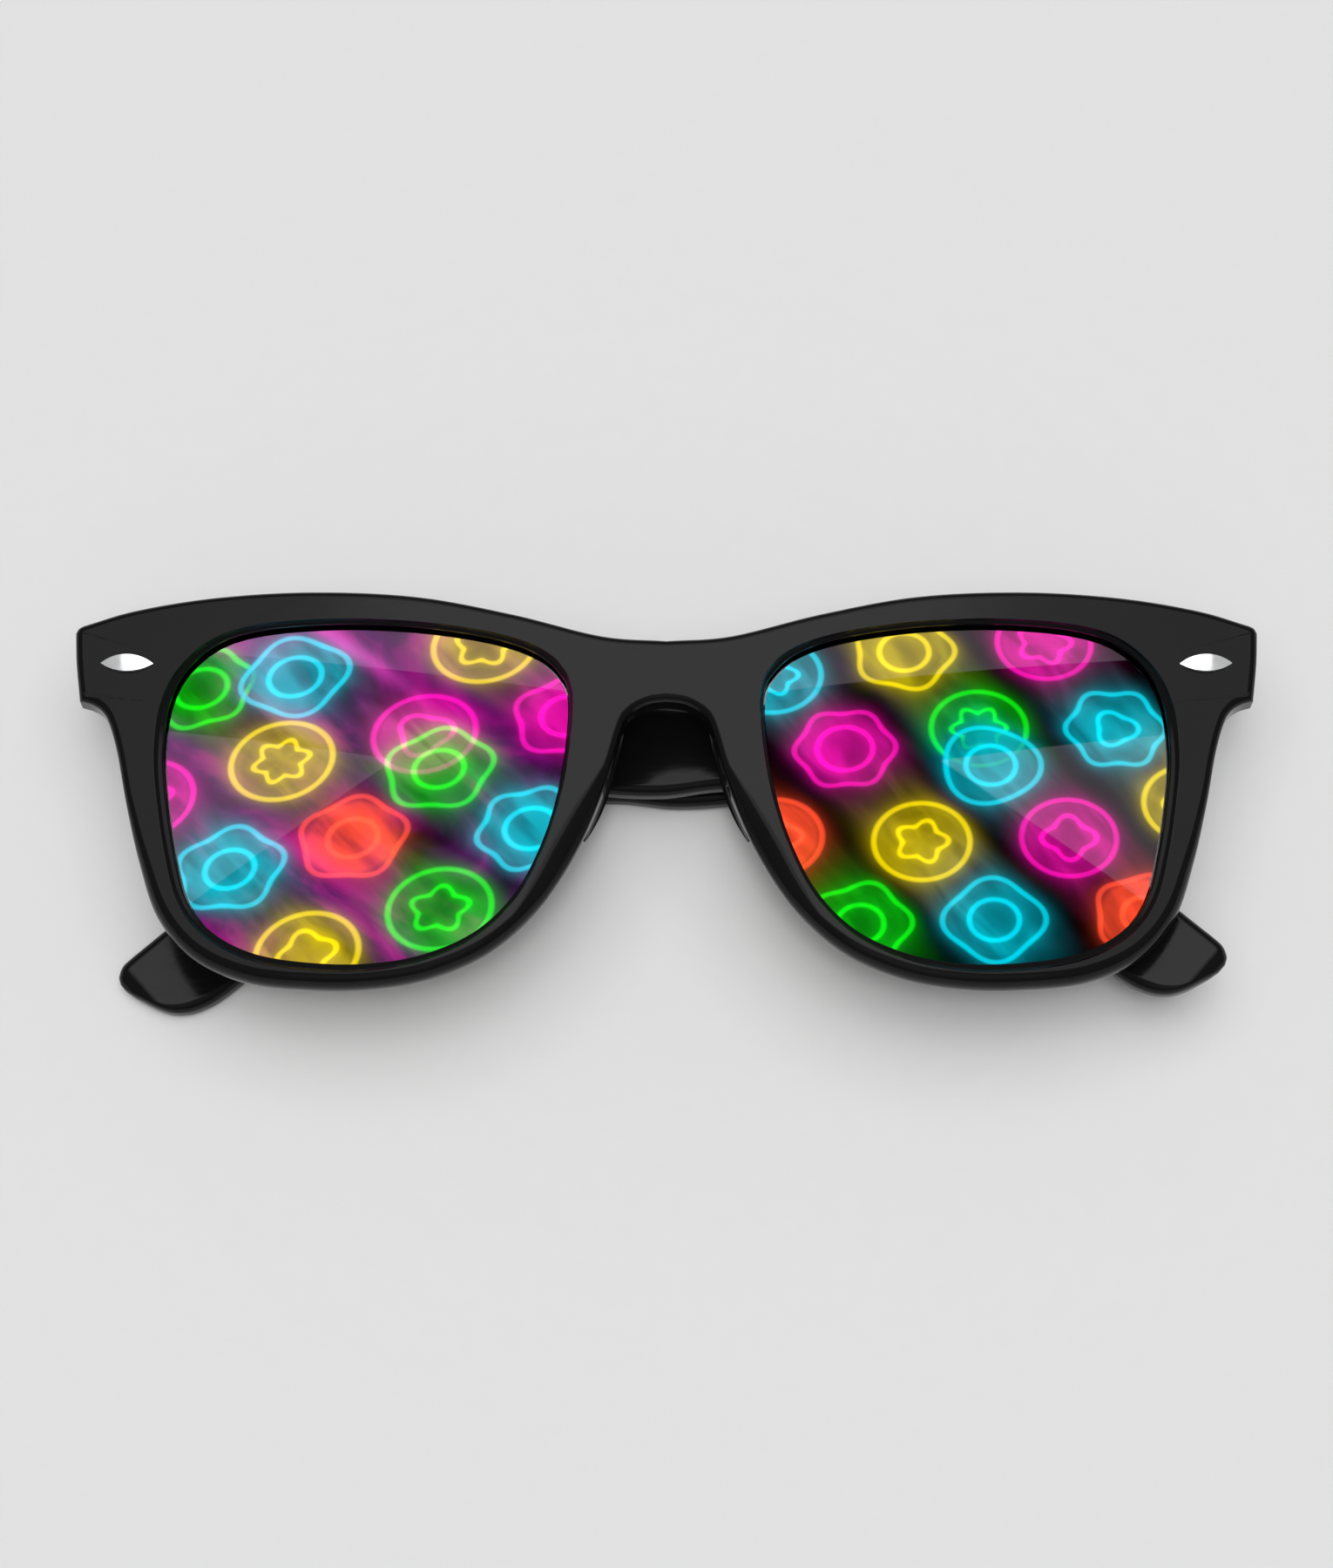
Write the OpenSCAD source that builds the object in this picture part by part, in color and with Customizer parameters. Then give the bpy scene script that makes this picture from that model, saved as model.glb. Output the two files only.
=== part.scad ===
// Folding spectacles with a wrapped one-piece front, two curved windows, each backed by a diffraction film, and
// two temples on screwed barrel hinges. Drawn folded and lying on the temples: X runs across the face, Y up to
// the brow, Z out of the front of the windows. The floor is Z = 0.

/* [Front] */
// Width of each end piece, outside its window
end_w = 11.65; // [11:0.05:12.5]
// Thickness of the front
front_t = 4.5; // [4:0.1:5]
// How far the end pieces lie behind the middle of the front
wrap_depth = 5; // [3:0.5:6]
// Rounding of the front's outer edges
edge_r = 0.9; // [0.5:0.1:1.2]
// Height of the brow line over the hinge level
brow_h = 8.8; // [8:0.1:10]
// Height of the top of the bridge over the hinge level
bridge_top = 1.8; // [1:0.1:3]
// Depth of the top of the nose arch under the hinge level
arch_drop = 4.9; // [4.2:0.1:6]
// Half width of the nose arch at its foot
arch_half_w = 4.9; // [4.3:0.1:5.5]
// Height of the arch's curve
arch_curve_h = 2.1; // [1.8:0.1:2.4]
// Upper corner of the end piece over the hinge level
end_top = 5.3; // [4.8:0.1:6]
// Lower corner of the end piece under the hinge level
end_low = 4.4; // [4:0.1:5]
// How far the side of the rim lies inside the side of the end piece
end_step = 4.7; // [4.4:0.1:5.2]
// Height of the curve from the end piece down to the rim
end_curve_h = 3.2; // [2.8:0.1:3.6]
// Width of the rim under the window
rim_w = 2.85; // [2.75:0.05:3.2]
// Width of the rolled outer edge under the windows
roll_w = 1.5; // [1:0.05:1.5]

/* [Windows] */
// Width of the opening that a window shows through
lens_w = 50; // [47:0.5:51]
// Height of that opening
lens_h = 43.5; // [40:0.5:44]
// Least distance between the two openings
bridge_w = 24.2; // [23:0.1:26]
// Depth of the opening's middle under the hinge level
lens_drop = 17.2; // [16.5:0.1:18]
// Radius of the window's outer face
lens_r = 200; // [150:10:300]
// Thickness of the window
lens_t = 1.6; // [1.2:0.1:1.8]
// How far the middle of the window stands over the front's face
lens_crown = 0.1; // [-0.3:0.1:0.5]
// Depth of the groove that holds the window's edge
groove_d = 1; // [0.6:0.1:1.3]
// Gap between the window's edge and its groove
groove_gap = 0.06; // [0.02:0.01:0.15]
// Width of the sloped step around each opening
step_w = 1.2; // [0.9:0.05:1.2]
// Thickness of the diffraction film
film_t = 0.25; // [0.15:0.05:0.4]
// Border of the window that the film leaves free
film_inset = 0.2; // [0.15:0.05:0.8]
// Glue line between bonded pieces
glue_gap = 0.03; // [0.02:0.01:0.06]

/* [Nose] */
// How far the nose pads reach behind the front
pad_reach = 5.5; // [4:0.5:7]
// Thickness of a nose pad, measured into the rim
pad_t = 3; // [2.4:0.1:3.6]
// How far a nose pad stands out into the nose gap
pad_proud = 0.6; // [0.3:0.1:1]
// Where a nose pad starts and ends under the hinge level
pad_from = 7.9; // [7.4:0.1:9]
pad_to = 23; // [20:0.5:26]
// Width of the bevel along the nose side of the rim
nose_bevel_w = 3.2; // [1.6:0.1:3.6]
// Depth of that bevel
nose_bevel_d = 1.9; // [1:0.1:2.2]

/* [Temples] */
// Length of a temple from the hinge pin to the tip, along its middle
temple_len = 144.5; // [139:0.5:149]
// Distance from the hinge pin to the ear bend
bend_at = 100; // [96:1:104]
// Angle of the ear bend
bend_angle = 35; // [30:1:40]
// Radius of the ear bend
bend_r = 30; // [22:1:40]
// Thickness at the hinge
temple_t = 4; // [3.8:0.1:4.2]
// Thickness from the middle to the tip
temple_thin_t = 3.6; // [3.2:0.1:3.8]
// Height at the hinge
temple_h_hinge = 9.8; // [9:0.1:10.4]
// Height in the middle
temple_h_mid = 12.4; // [11.4:0.1:13]
// Height at the ear bend
temple_h_bend = 9.6; // [9:0.1:10.6]
// Height of the paddle at the tip
temple_h_tip = 11.4; // [10.6:0.1:12]
// Where the lower edge hangs deepest
belly_at = 60; // [56:1:64]
// How far it hangs deeper there than half the height in the middle
belly_d = 0.9; // [0.4:0.1:1.2]
// Slope of the temple away from the face near the hinge, and back towards it behind
bow_slope = 0.075; // [0.05:0.005:0.08]
// Where the outward bow starts to turn
bow_from = 20; // [16:1:24]
// Where the inward run starts
bow_to = 65; // [60:1:70]

/* [Hinges] */
// Distance of the hinge pins from the sides of the end pieces
pivot_in = 6.55; // [6.15:0.05:6.9]
// Depth of the hinge pins behind the back of the end pieces
pivot_back = 2.1; // [2:0.1:2.6]
// Radius of the hinge barrels
barrel_r = 1.6; // [1.4:0.1:1.7]
// Height of the stack of barrels
barrel_h = 7.4; // [6.4:0.2:8]
// Gap between barrels
barrel_gap = 0.06; // [0.04:0.01:0.1]
// Radius of the screw's shank
screw_r = 0.65; // [0.55:0.05:0.75]
// Running clearance around the shank
screw_gap = 0.04; // [0.02:0.01:0.08]
// Thickness of the hinge leaves
leaf_t = 0.9; // [0.8:0.1:1.1]
// Radius of the rivet pins
rivet_r = 0.6; // [0.5:0.05:0.7]
// Clearance around bonded pins and leaves
seat_gap = 0.04; // [0.03:0.01:0.08]
// In-plane slope of the folded temples towards the middle
fold_slope = 6.2; // [5.8:0.1:6.6]
// Fold angle of the inner temple past the plane of the front
fold_inner = 0; // [0:0.1:0.3]
// Fold angle of the outer temple past the plane of the front
fold_outer = 4.3; // [4.2:0.1:4.6]

/* [Rivet plaques] */
// Length of a rivet plaque
plaque_l = 6.7; // [6:0.1:7.2]
// Width of a rivet plaque
plaque_w = 2.2; // [1.9:0.1:2.5]
// Height of its dome over the face
plaque_h = 0.55; // [0.4:0.05:0.8]
// Distance of the plaques from the sides of the end pieces
plaque_in = 6.75; // [6.5:0.05:7.2]
// Tilt of a plaque in the plane of the face
plaque_tilt = 3; // [0:1:6]

/* [Hidden] */
$fn = 48;

// Colours
acetate_black = "#151515";
film_violet = "#6a1f8a";
window_smoke = [0.2, 0.2, 0.24, 0.6];
polished_steel = "#d8dadc";
hinge_steel = "#a9adb2";

// Each row is a point on the edge of the right opening, as shares of its width and height from its middle, and the
// width of the rim outside that point, as a multiple of the width under the window. Clockwise from the top.
OPENING = [
    [0.10, 0.5, 0], [0.26, 0.49, 0], [0.37, 0.455, 0], [0.45, 0.375, 0], [0.49, 0.27, 0],
    [0.5, 0.13, 2.03], [0.49, 0, 1.77], [0.465, -0.165, 1.59], [0.43, -0.305, 1.45], [0.365, -0.4, 1.35],
    [0.26, -0.465, 1.2], [0.12, -0.495, 1.06], [-0.02, -0.5, 1], [-0.155, -0.475, 0.99], [-0.28, -0.41, 1.02],
    [-0.375, -0.3, 1.16], [-0.44, -0.15, 1.46], [-0.48, 0.01, 1.84], [-0.5, 0.18, 2.28],
    [-0.5, 0.29, 0], [-0.47, 0.355, 0], [-0.41, 0.41, 0], [-0.31, 0.45, 0], [-0.165, 0.48, 0], [-0.03, 0.495, 0]
];

// Places, from the middle plane, the hinge level and the height of the hinge pins
lens_cx = (bridge_w + lens_w)/2;
half_w = lens_cx + lens_w/2 + end_w;
pivot_x = half_w - pivot_in;
plaque_x = half_w - plaque_in;
lens_c = [lens_cx, -lens_drop];
hinge_y = (end_top - end_low)/2;
bow_deg = atan(bow_slope);
barrel_room = 0.3;
temple_in = barrel_r + barrel_room;
level_y = (lens_drop + lens_h/2 + rim_w - brow_h)/2;

// Height of the face and of the back of the front at a distance x from the middle plane
function face_z(x) = pivot_back + front_t + wrap_depth*(1 - pow(x/half_w, 2));
function back_z(x) = face_z(x) - front_t;
function face_lean(x) = atan(2*wrap_depth*abs(x)/pow(half_w, 2));

// Small helpers for points in the plane
function unit(v) = v/norm(v);
function left_of(v) = [-v[1], v[0]];
function flat(v) = [v[0], v[1]];

// A smooth curve through points, with steps pieces between each two of them
function curve_at(a, b, c, d, t) =
    0.5*(2*b + (c - a)*t + (2*a - 5*b + 4*c - d)*t*t + (3*b - a - 3*c + d)*t*t*t);
function open_curve(p, steps) = let (n = len(p)) [
    for (i = [0:n - 2], k = [0:steps - 1])
        curve_at(i == 0 ? 2*p[0] - p[1] : p[i - 1], p[i], p[i + 1], i + 2 < n ? p[i + 2] : 2*p[n - 1] - p[n - 2],
            k/steps),
    p[n - 1]
];
function closed_curve(p, steps) = let (n = len(p)) [
    for (i = [0:n - 1], k = [0:steps - 1])
        curve_at(p[(i + n - 1)%n], p[i], p[(i + 1)%n], p[(i + 2)%n], k/steps)
];
function without_last(p) = [for (i = [0:len(p) - 2]) p[i]];
function without_first(p) = [for (i = [1:len(p) - 1]) p[i]];

// Where the ray from point c towards point o crosses a closed curve
function ray_hit(c, o, curve) = let (
    d = o - c,
    side = left_of(d),
    hits = [
        for (i = [0:len(curve) - 1])
            let (p = curve[i] - c, q = curve[(i + 1)%len(curve)] - c, sp = p*side, sq = q*side)
            if (sp <= 0 != sq <= 0 && (p + q)*d > 0) c + p + (q - p)*sp/(sp - sq)
    ]
) hits[0];

// The right opening's edge
opening_points = [for (p = OPENING) lens_c + [p[0]*lens_w, p[1]*lens_h]];
opening_edge = closed_curve(opening_points, 6);
opening_count = len(opening_points);

// The outline of the right half, clockwise from the middle of the brow to the top of the nose arch
brow_rise = brow_h - bridge_top;
brow_fall = brow_h - end_top;
brow_run = open_curve([
    [0, bridge_top], [bridge_w/3, bridge_top + 0.095*brow_rise], [lens_cx - 0.36*lens_w, bridge_top + 0.515*brow_rise],
    [lens_cx - 0.12*lens_w, bridge_top + 0.87*brow_rise], [lens_cx + 0.14*lens_w, brow_h],
    [lens_cx + 0.38*lens_w, brow_h - 0.1*brow_fall], [half_w - 0.66*end_w, brow_h - 0.47*brow_fall],
    [half_w - 1.1*edge_r, end_top + 0.03*brow_fall]
], 3);
end_h = end_top + end_low;
end_corner = [[half_w - 0.4*edge_r, end_top - 0.07*brow_fall], [half_w, end_top - edge_r]];
end_side = [[half_w - 0.05*end_step, end_top - end_h/2], [half_w - 0.18*end_step, -end_low]];
rim_points = [
    for (i = [0:opening_count - 1]) if (OPENING[i][2] > 0)
        let (run = opening_points[i + 1] - opening_points[i - 1])
        opening_points[i] + OPENING[i][2]*rim_w*unit(left_of(run))
];
rim_run = open_curve(concat([
    [half_w - 0.18*end_step, -end_low], [half_w - 0.51*end_step, -end_low - 0.17*end_curve_h],
    [half_w - 0.79*end_step, -end_low - 0.47*end_curve_h], [half_w - end_step, -end_low - end_curve_h]
], rim_points, [[arch_half_w, -arch_drop - arch_curve_h]]), 2);
arch_run = open_curve([
    [arch_half_w, -arch_drop - arch_curve_h], [arch_half_w*0.8, -arch_drop - 0.57*arch_curve_h],
    [arch_half_w*0.43, -arch_drop - 0.14*arch_curve_h],
    [0, -arch_drop]
], 2);
middle_run = [for (k = [1:2]) [0, -arch_drop + edge_r + k/3*(bridge_top + arch_drop - 2*edge_r)]];
outline = concat(brow_run, end_corner, end_side, without_first(rim_run), without_first(arch_run), middle_run);
stations = len(outline);
top_station = 0;
arch_station = stations - 3;

// Outward direction of the outline at a station, from its neighbours or, on the middle plane, by symmetry
function outline_side(i) =
    i == top_station ? [0, 1] :
    i == arch_station ? [0, -1] :
    unit(left_of(outline[(i + 1)%stations] - outline[i - 1]));

// The opening's edge and its outward direction at each station
loft_c = lens_c + [0, 0.215*lens_h];
opening_at = [for (p = outline) ray_hit(loft_c, p, opening_edge)];
opening_side = [
    for (i = [0:stations - 1])
        unit(left_of(opening_at[(i + 1)%stations] - opening_at[(i + stations - 1)%stations]))
];

// The window's outer face is a sphere whose middle leans with the wrapped face
lens_axis = [sin(face_lean(lens_cx)), 0, cos(face_lean(lens_cx))];
lens_centre = [lens_c[0], lens_c[1], face_z(lens_cx)] + (lens_crown - lens_r)*lens_axis;
function lens_z(p, r) =
    lens_centre[2] + sqrt(r*r - pow(p[0] - lens_centre[0], 2) - pow(p[1] - lens_centre[1], 2));

// The bevel on the nose side: 1 in its middle, fading to 0 at both ends
bevel_top = -arch_drop - arch_curve_h;
bevel_low = -lens_drop - 0.42*lens_h;
function nose_bevel(p) =
    p[0] > lens_cx - 0.2*lens_w || p[1] > bevel_top || p[1] < bevel_low ? 0 :
    sin(180*pow((bevel_top - p[1])/(bevel_top - bevel_low), 0.8));

// The roll of the outer edge: 0 beside the windows, growing to 1 under them
roll_top = -lens_drop + 0.06*lens_h;
roll_run = 0.4*lens_h;
function edge_roll(p) = let (s = min(1, max(0, (roll_top - p[1])/roll_run))) s*s*(3 - 2*s);

// One station of the front: a ring of points around the rim's section
function rim_ring(i) = let (
    a = opening_at[i],
    n = opening_side[i],
    o = outline[i],
    m = outline_side(i),
    middle = i > arch_station,
    bevel = nose_bevel(o),
    in_w = edge_r + max(bevel*(nose_bevel_w - edge_r), edge_roll(o)*(roll_w - edge_r)),
    in_d = edge_r + bevel*(nose_bevel_d - edge_r),
    top = face_z(a[0]),
    low = back_z(a[0]),
    g = a + n*groove_d,
    from_a = function (r, z) [a[0] + n[0]*r, a[1] + n[1]*r, z],
    from_o = function (r, z) middle ? [o[0], o[1], z] : [o[0] - m[0]*r, o[1] - m[1]*r, z]
) [
    from_a(0, lens_z(a, lens_r) + groove_gap),
    from_a(0.45*step_w, (lens_z(a, lens_r) + groove_gap + top)/2),
    from_a(0.8*step_w, top - 0.1*step_w),
    from_a(step_w, face_z(a[0] + n[0]*step_w)),
    from_o(in_w, face_z(o[0] - m[0]*in_w)),
    from_o(0.3*in_w, face_z(o[0]) - 0.3*in_d),
    from_o(0, face_z(o[0]) - in_d),
    from_o(0, back_z(o[0]) + edge_r),
    from_o(0.3*edge_r, back_z(o[0]) + 0.3*edge_r),
    from_o(edge_r, back_z(o[0] - m[0]*edge_r)),
    from_a(edge_r, back_z(a[0] + n[0]*edge_r)),
    from_a(0, low + 0.6*edge_r),
    from_a(0, lens_z(a, lens_r - lens_t) - groove_gap),
    from_a(groove_d, lens_z(g, lens_r - lens_t) - groove_gap),
    from_a(groove_d, lens_z(g, lens_r) + groove_gap)
];
first_edge_point = 4;
last_edge_point = 9;
rings = [for (i = [0:stations - 1]) rim_ring(i)];
ring_size = len(rings[0]);

// The front is one closed skin. Both halves share the points on the middle plane.
function shared(i, j) = (i == top_station || i >= arch_station) && j >= first_edge_point && j <= last_edge_point;
function skin_point(half, i, j) = (shared(i, j) ? 0 : half)*stations*ring_size + i*ring_size + j;
function on_middle_cut(i, j) = i >= arch_station && j >= first_edge_point && j < last_edge_point;
function quad(a, b, c, d, flip) = flip ? [[a, c, b], [a, d, c]] : [[a, b, c], [a, c, d]];
module front_skin() {
    points = [for (s = [1, -1], ring = rings, p = ring) [s*p[0], p[1], p[2]]];
    faces = [
        for (half = [0, 1], i = [0:stations - 1], j = [0:ring_size - 1]) if (!on_middle_cut(i, j))
            let (k = (i + 1)%stations, l = (j + 1)%ring_size)
            each quad(skin_point(half, i, j), skin_point(half, i, l), skin_point(half, k, l), skin_point(half, k, j),
                half == 1)
    ];
    polyhedron(points, faces, convexity = 10);
}

// A closed skin through rings of equally many points, flat at both ends
module ring_loft(rings) {
    n = len(rings);
    m = len(rings[0]);
    points = [for (r = rings, p = r) p];
    sides = [
        for (i = [0:n - 2], j = [0:m - 1])
            let (k = (j + 1)%m) each quad(i*m + j, i*m + k, (i + 1)*m + k, (i + 1)*m + j, false)
    ];
    ends = [[for (j = [m - 1:-1:0]) j], [for (j = [0:m - 1]) (n - 1)*m + j]];
    polyhedron(points, concat(sides, ends), convexity = 6);
}

// Places a part drawn in the front's own frame onto the floor, on the right or mirrored to the left
module placed() {
    translate([0, level_y, pin_z]) children();
}
module on_side(side) {
    placed() mirror([side > 0 ? 0 : 1, 0, 0]) children();
}

// The frame of a hinge: X along the leaf on the front, Y along the pin, Z to the face
module at_hinge() {
    translate([pivot_x, hinge_y, 0]) rotate([0, 0, fold_slope]) children();
}

// Hinge leaf seats, rivet places and the pocket behind each end piece
leaf_back = 0.35;
leaf_in = 3.6;
leaf_out = 3;
leaf_half_h = barrel_h/2;
plaque_pin_x = 1.8;
barrel_slice = (barrel_h - 4*barrel_gap)/5;
leaf_z = pivot_back + leaf_back;

module leaf_pocket() {
    at_hinge() translate([-leaf_in - seat_gap, -leaf_half_h - seat_gap, -1])
        cube([leaf_in + leaf_out + 2*seat_gap, 2*(leaf_half_h + seat_gap), leaf_z + leaf_t + seat_gap + 1]);
}
module plaque_pins(r, low, over_face) {
    translate([plaque_x, 0, 0]) rotate([0, 0, plaque_tilt]) for (x = [-plaque_pin_x, plaque_pin_x])
        translate([x, 0, low]) cylinder(r = r, h = face_z(plaque_x + x) + over_face - low);
}

// The front: two rims, the bridge with its arch and two end pieces, with a groove around each opening
module front_frame() {
    color(acetate_black) difference() {
        placed() front_skin();
        for (side = [-1, 1]) on_side(side) {
            leaf_pocket();
            plaque_pins(rivet_r + seat_gap, 0, 1);
        }
    }
}

// A nose pad: a rounded fin bonded behind the nose side of a rim, fading out at both ends
pad_steps = 12;
function outline_at(y) = let (
    hits = [
        for (i = [arch_station - 1:-1:0])
            let (p = outline[i], q = outline[i + 1])
            if (p[1] <= y && q[1] > y && p[0] < lens_cx)
                concat(p + (q - p)*(y - p[1])/(q[1] - p[1]), left_of(unit(q - p)))
    ]
) hits[0];
// The section across a pad, from the rim's side to the nose side: share of its thickness, or past 0 of how far it
// stands out, and share of its reach
PAD_SECTION = [[1, 0], [0.93, 0.5], [0.68, 0.86], [0.36, 1], [0.1, 0.97], [-0.5, 0.8], [-1, 0.45], [-0.6, 0]];
function pad_ring(k) = let (
    t = (k + 0.5)/(pad_steps + 1),
    at = outline_at(-pad_from - t*(pad_to - pad_from)),
    n = [at[2], at[3]],
    swell = pow(sin(180*pow(t, 0.8)), 0.8)
) [
    for (s = PAD_SECTION)
        let (p = flat(at) - n*(s[0] > 0 ? s[0]*pad_t : s[0]*pad_proud*swell))
        [p[0], p[1], back_z(p[0]) - glue_gap - s[1]*pad_reach*swell]
];
module nose_pad(side) {
    color(acetate_black) on_side(side) ring_loft([for (k = [0:pad_steps]) pad_ring(k)]);
}

// A window: its edge sits in the groove of the rim
module lens(side) {
    edge = [for (i = [0:stations - 1]) opening_at[i] + opening_side[i]*(groove_d - groove_gap)];
    color(window_smoke) on_side(side) shell_piece(edge, lens_r, lens_t);
}

// The film behind a window
module diffraction_film(side) {
    around = closed_curve(opening_points, 3);
    n = len(around);
    edge = [
        for (i = [0:n - 1])
            around[i] - film_inset*unit(left_of(around[(i + 1)%n] - around[(i + n - 1)%n]))
    ];
    color(film_violet) on_side(side) shell_piece(edge, lens_r - lens_t - glue_gap, film_t);
}

// A piece of a spherical shell around the window's centre, cut to an outline
module shell_piece(edge, r, t) {
    low = face_z(half_w) - 2*front_t;
    difference() {
        intersection() {
            translate([0, 0, low]) linear_extrude(4*front_t) polygon(edge);
            translate(lens_centre) sphere(r, $fn = 360);
        }
        translate(lens_centre) sphere(r - t, $fn = 360);
    }
}

// A rivet plaque: a pointed oval with a domed top, and two pins through the front and the hinge leaf
module rivet_plaque(side) {
    arc_r = (pow(plaque_l/2, 2) + pow(plaque_w/2, 2))/plaque_w;
    dome_r = (pow(plaque_l/2, 2) + pow(plaque_h - 0.1, 2))/(2*(plaque_h - 0.1));
    color(polished_steel) on_side(side) {
        translate([plaque_x, 0, face_z(plaque_x) + 0.02]) rotate([0, face_lean(plaque_x), 0])
            rotate([0, 0, plaque_tilt]) intersection() {
                linear_extrude(plaque_h) intersection() {
                    translate([0, plaque_w/2 - arc_r]) circle(arc_r, $fn = 180);
                    translate([0, arc_r - plaque_w/2]) circle(arc_r, $fn = 180);
                }
                translate([0, 0, plaque_h - dome_r]) sphere(dome_r, $fn = 180);
            }
        plaque_pins(rivet_r, leaf_z + 0.05, 0.2);
    }
}

// One barrel of a hinge, counted from the bottom
module barrel(k) {
    translate([0, -barrel_h/2 + k*(barrel_slice + barrel_gap), 0]) rotate([-90, 0, 0])
        cylinder(r = barrel_r, h = barrel_slice);
}
module screw_bore() {
    translate([0, -barrel_h/2 - 1, 0]) rotate([-90, 0, 0]) cylinder(r = screw_r + screw_gap, h = barrel_h + 2);
}

// The leaf on the front: a plate in the pocket and three barrels
module front_hinge_leaf(side) {
    color(hinge_steel) on_side(side) difference() {
        at_hinge() difference() {
            union() {
                translate([-leaf_in, -leaf_half_h, leaf_z]) cube([leaf_in + leaf_out, 2*leaf_half_h, leaf_t]);
                for (k = [0, 2, 4]) {
                    barrel(k);
                    translate([-barrel_r, -barrel_h/2 + k*(barrel_slice + barrel_gap), 0])
                        cube([1.7*barrel_r, barrel_slice, leaf_z + 0.1]);
                }
            }
            screw_bore();
        }
        plaque_pins(rivet_r + seat_gap, leaf_z - 0.01, 0);
    }
}

// The hinge screw: a slotted head on the top barrel and a shank through all barrels
module hinge_screw(side) {
    head_r = 0.8*barrel_r;
    head_h = 0.5;
    color(polished_steel) on_side(side) at_hinge() translate([0, -barrel_h/2, 0]) rotate([-90, 0, 0])
        difference() {
            union() {
                translate([0, 0, -0.2]) cylinder(r = screw_r, h = barrel_h + 0.4);
                translate([0, 0, barrel_h + 0.02]) cylinder(r = head_r, h = head_h);
            }
            translate([-head_r - 1, -0.15, barrel_h + 0.02 + 0.55*head_h]) cube([2*head_r + 2, 0.3, head_h]);
        }
}

// The temple, drawn along its length s, up v, and outward w, measured from the hinge pin
butt_back = 1.8;
butt_lean = tan(face_lean(pivot_x + temple_in));
bend_from = bend_at - bend_r*bend_angle*PI/360;
bend_to = bend_at + bend_r*bend_angle*PI/360;
function bend_turn(u) = bend_angle*min(1, max(0, (u - bend_from)/(bend_to - bend_from)));
function middle_at(u) =
    u < bend_from ? [u, 0] :
    let (a = bend_turn(u), arc_end = [bend_from, 0] + bend_r*[sin(a), cos(a) - 1])
    arc_end + max(0, u - bend_to)*[cos(a), -sin(a)];

// Outward bow at a distance s along the straight run: out near the hinge, a gentle turn, then straight back in, so
// that the outer temple's outer face lies flat on the floor
function bow(s) =
    let (t = min(bow_to, max(bow_from, s)))
    bow_slope*(min(s, bow_to) - pow(t - bow_from, 2)/(bow_to - bow_from) - max(0, s - bow_to));

// Places along the temple with its upper and lower edge there, as distances from the middle line
top_mid = temple_h_mid/2 - 0.08*temple_h_mid;
temple_places = [
    [-butt_back, temple_h_hinge/2, -temple_h_hinge/2],
    [0.2*belly_at, 0.51*temple_h_hinge, -0.52*temple_h_hinge],
    [0.6*belly_at, top_mid, -temple_h_mid/2],
    [0.94*belly_at, top_mid, -temple_h_mid/2 - belly_d],
    [1.12*belly_at, top_mid, -temple_h_mid/2 - 0.8*belly_d],
    [1.27*belly_at, 0.53*temple_h_bend, -0.54*temple_h_bend],
    [0.9*bend_at, temple_h_bend/2, -temple_h_bend/2],
    [1.06*bend_at, temple_h_bend/2, -temple_h_bend/2],
    [temple_len - 2.5*temple_h_tip, 0.48*temple_h_tip, -0.46*temple_h_tip],
    [temple_len - 1.5*temple_h_tip, temple_h_tip/2, -temple_h_tip/2],
    [temple_len - 0.8*temple_h_tip, temple_h_tip/2, -temple_h_tip/2],
    [temple_len - 0.48*temple_h_tip, temple_h_tip/2, -0.44*temple_h_tip],
    [temple_len - 0.28*temple_h_tip, temple_h_tip/2, -0.33*temple_h_tip],
    [temple_len - 0.15*temple_h_tip, 0.49*temple_h_tip, -0.17*temple_h_tip],
    [temple_len - 0.045*temple_h_tip, 0.44*temple_h_tip, 0.08*temple_h_tip],
    [temple_len, 0.36*temple_h_tip, 0.24*temple_h_tip]
];
temple_run = open_curve(temple_places, 3);
function temple_thick(u) =
    let (f = min(1, max(0, u/bow_to)), tip = max(0, 1 - (temple_len - u)/(0.2*temple_h_tip)))
    (temple_t + f*(temple_thin_t - temple_t))*sqrt(1 - 0.75*tip*tip);

// A rounded oblong around the temple at one place along it
soft_r = 1.3;
corner_steps = 3;
function temple_ring(place) = let (
    u = place[0],
    mid = (place[1] + place[2])/2,
    h = (place[1] - place[2])/2,
    t = temple_thick(u)/2,
    r = min(soft_r, 0.9*t, 0.9*h),
    at = middle_at(u),
    turn = bend_turn(u),
    up = [sin(turn), cos(turn)],
    full_t = temple_thick(min(u, bow_to))/2
) [
    for (c = [3:-1:0], k = [corner_steps:-1:0])
        let (
            a = 90*c + 90*k/corner_steps,
            v = mid + (c == 0 || c == 3 ? 1 : -1)*(h - r) + r*cos(a),
            w = (c < 2 ? 1 : -1)*(t - r) + r*sin(a),
            lean = u < 0 ? butt_lean*(t - w) : 0,
            s = at[0] + up[0]*v
        )
        [s - lean, at[1] + up[1]*v, temple_in + full_t + bow(s) + w]
];

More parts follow.
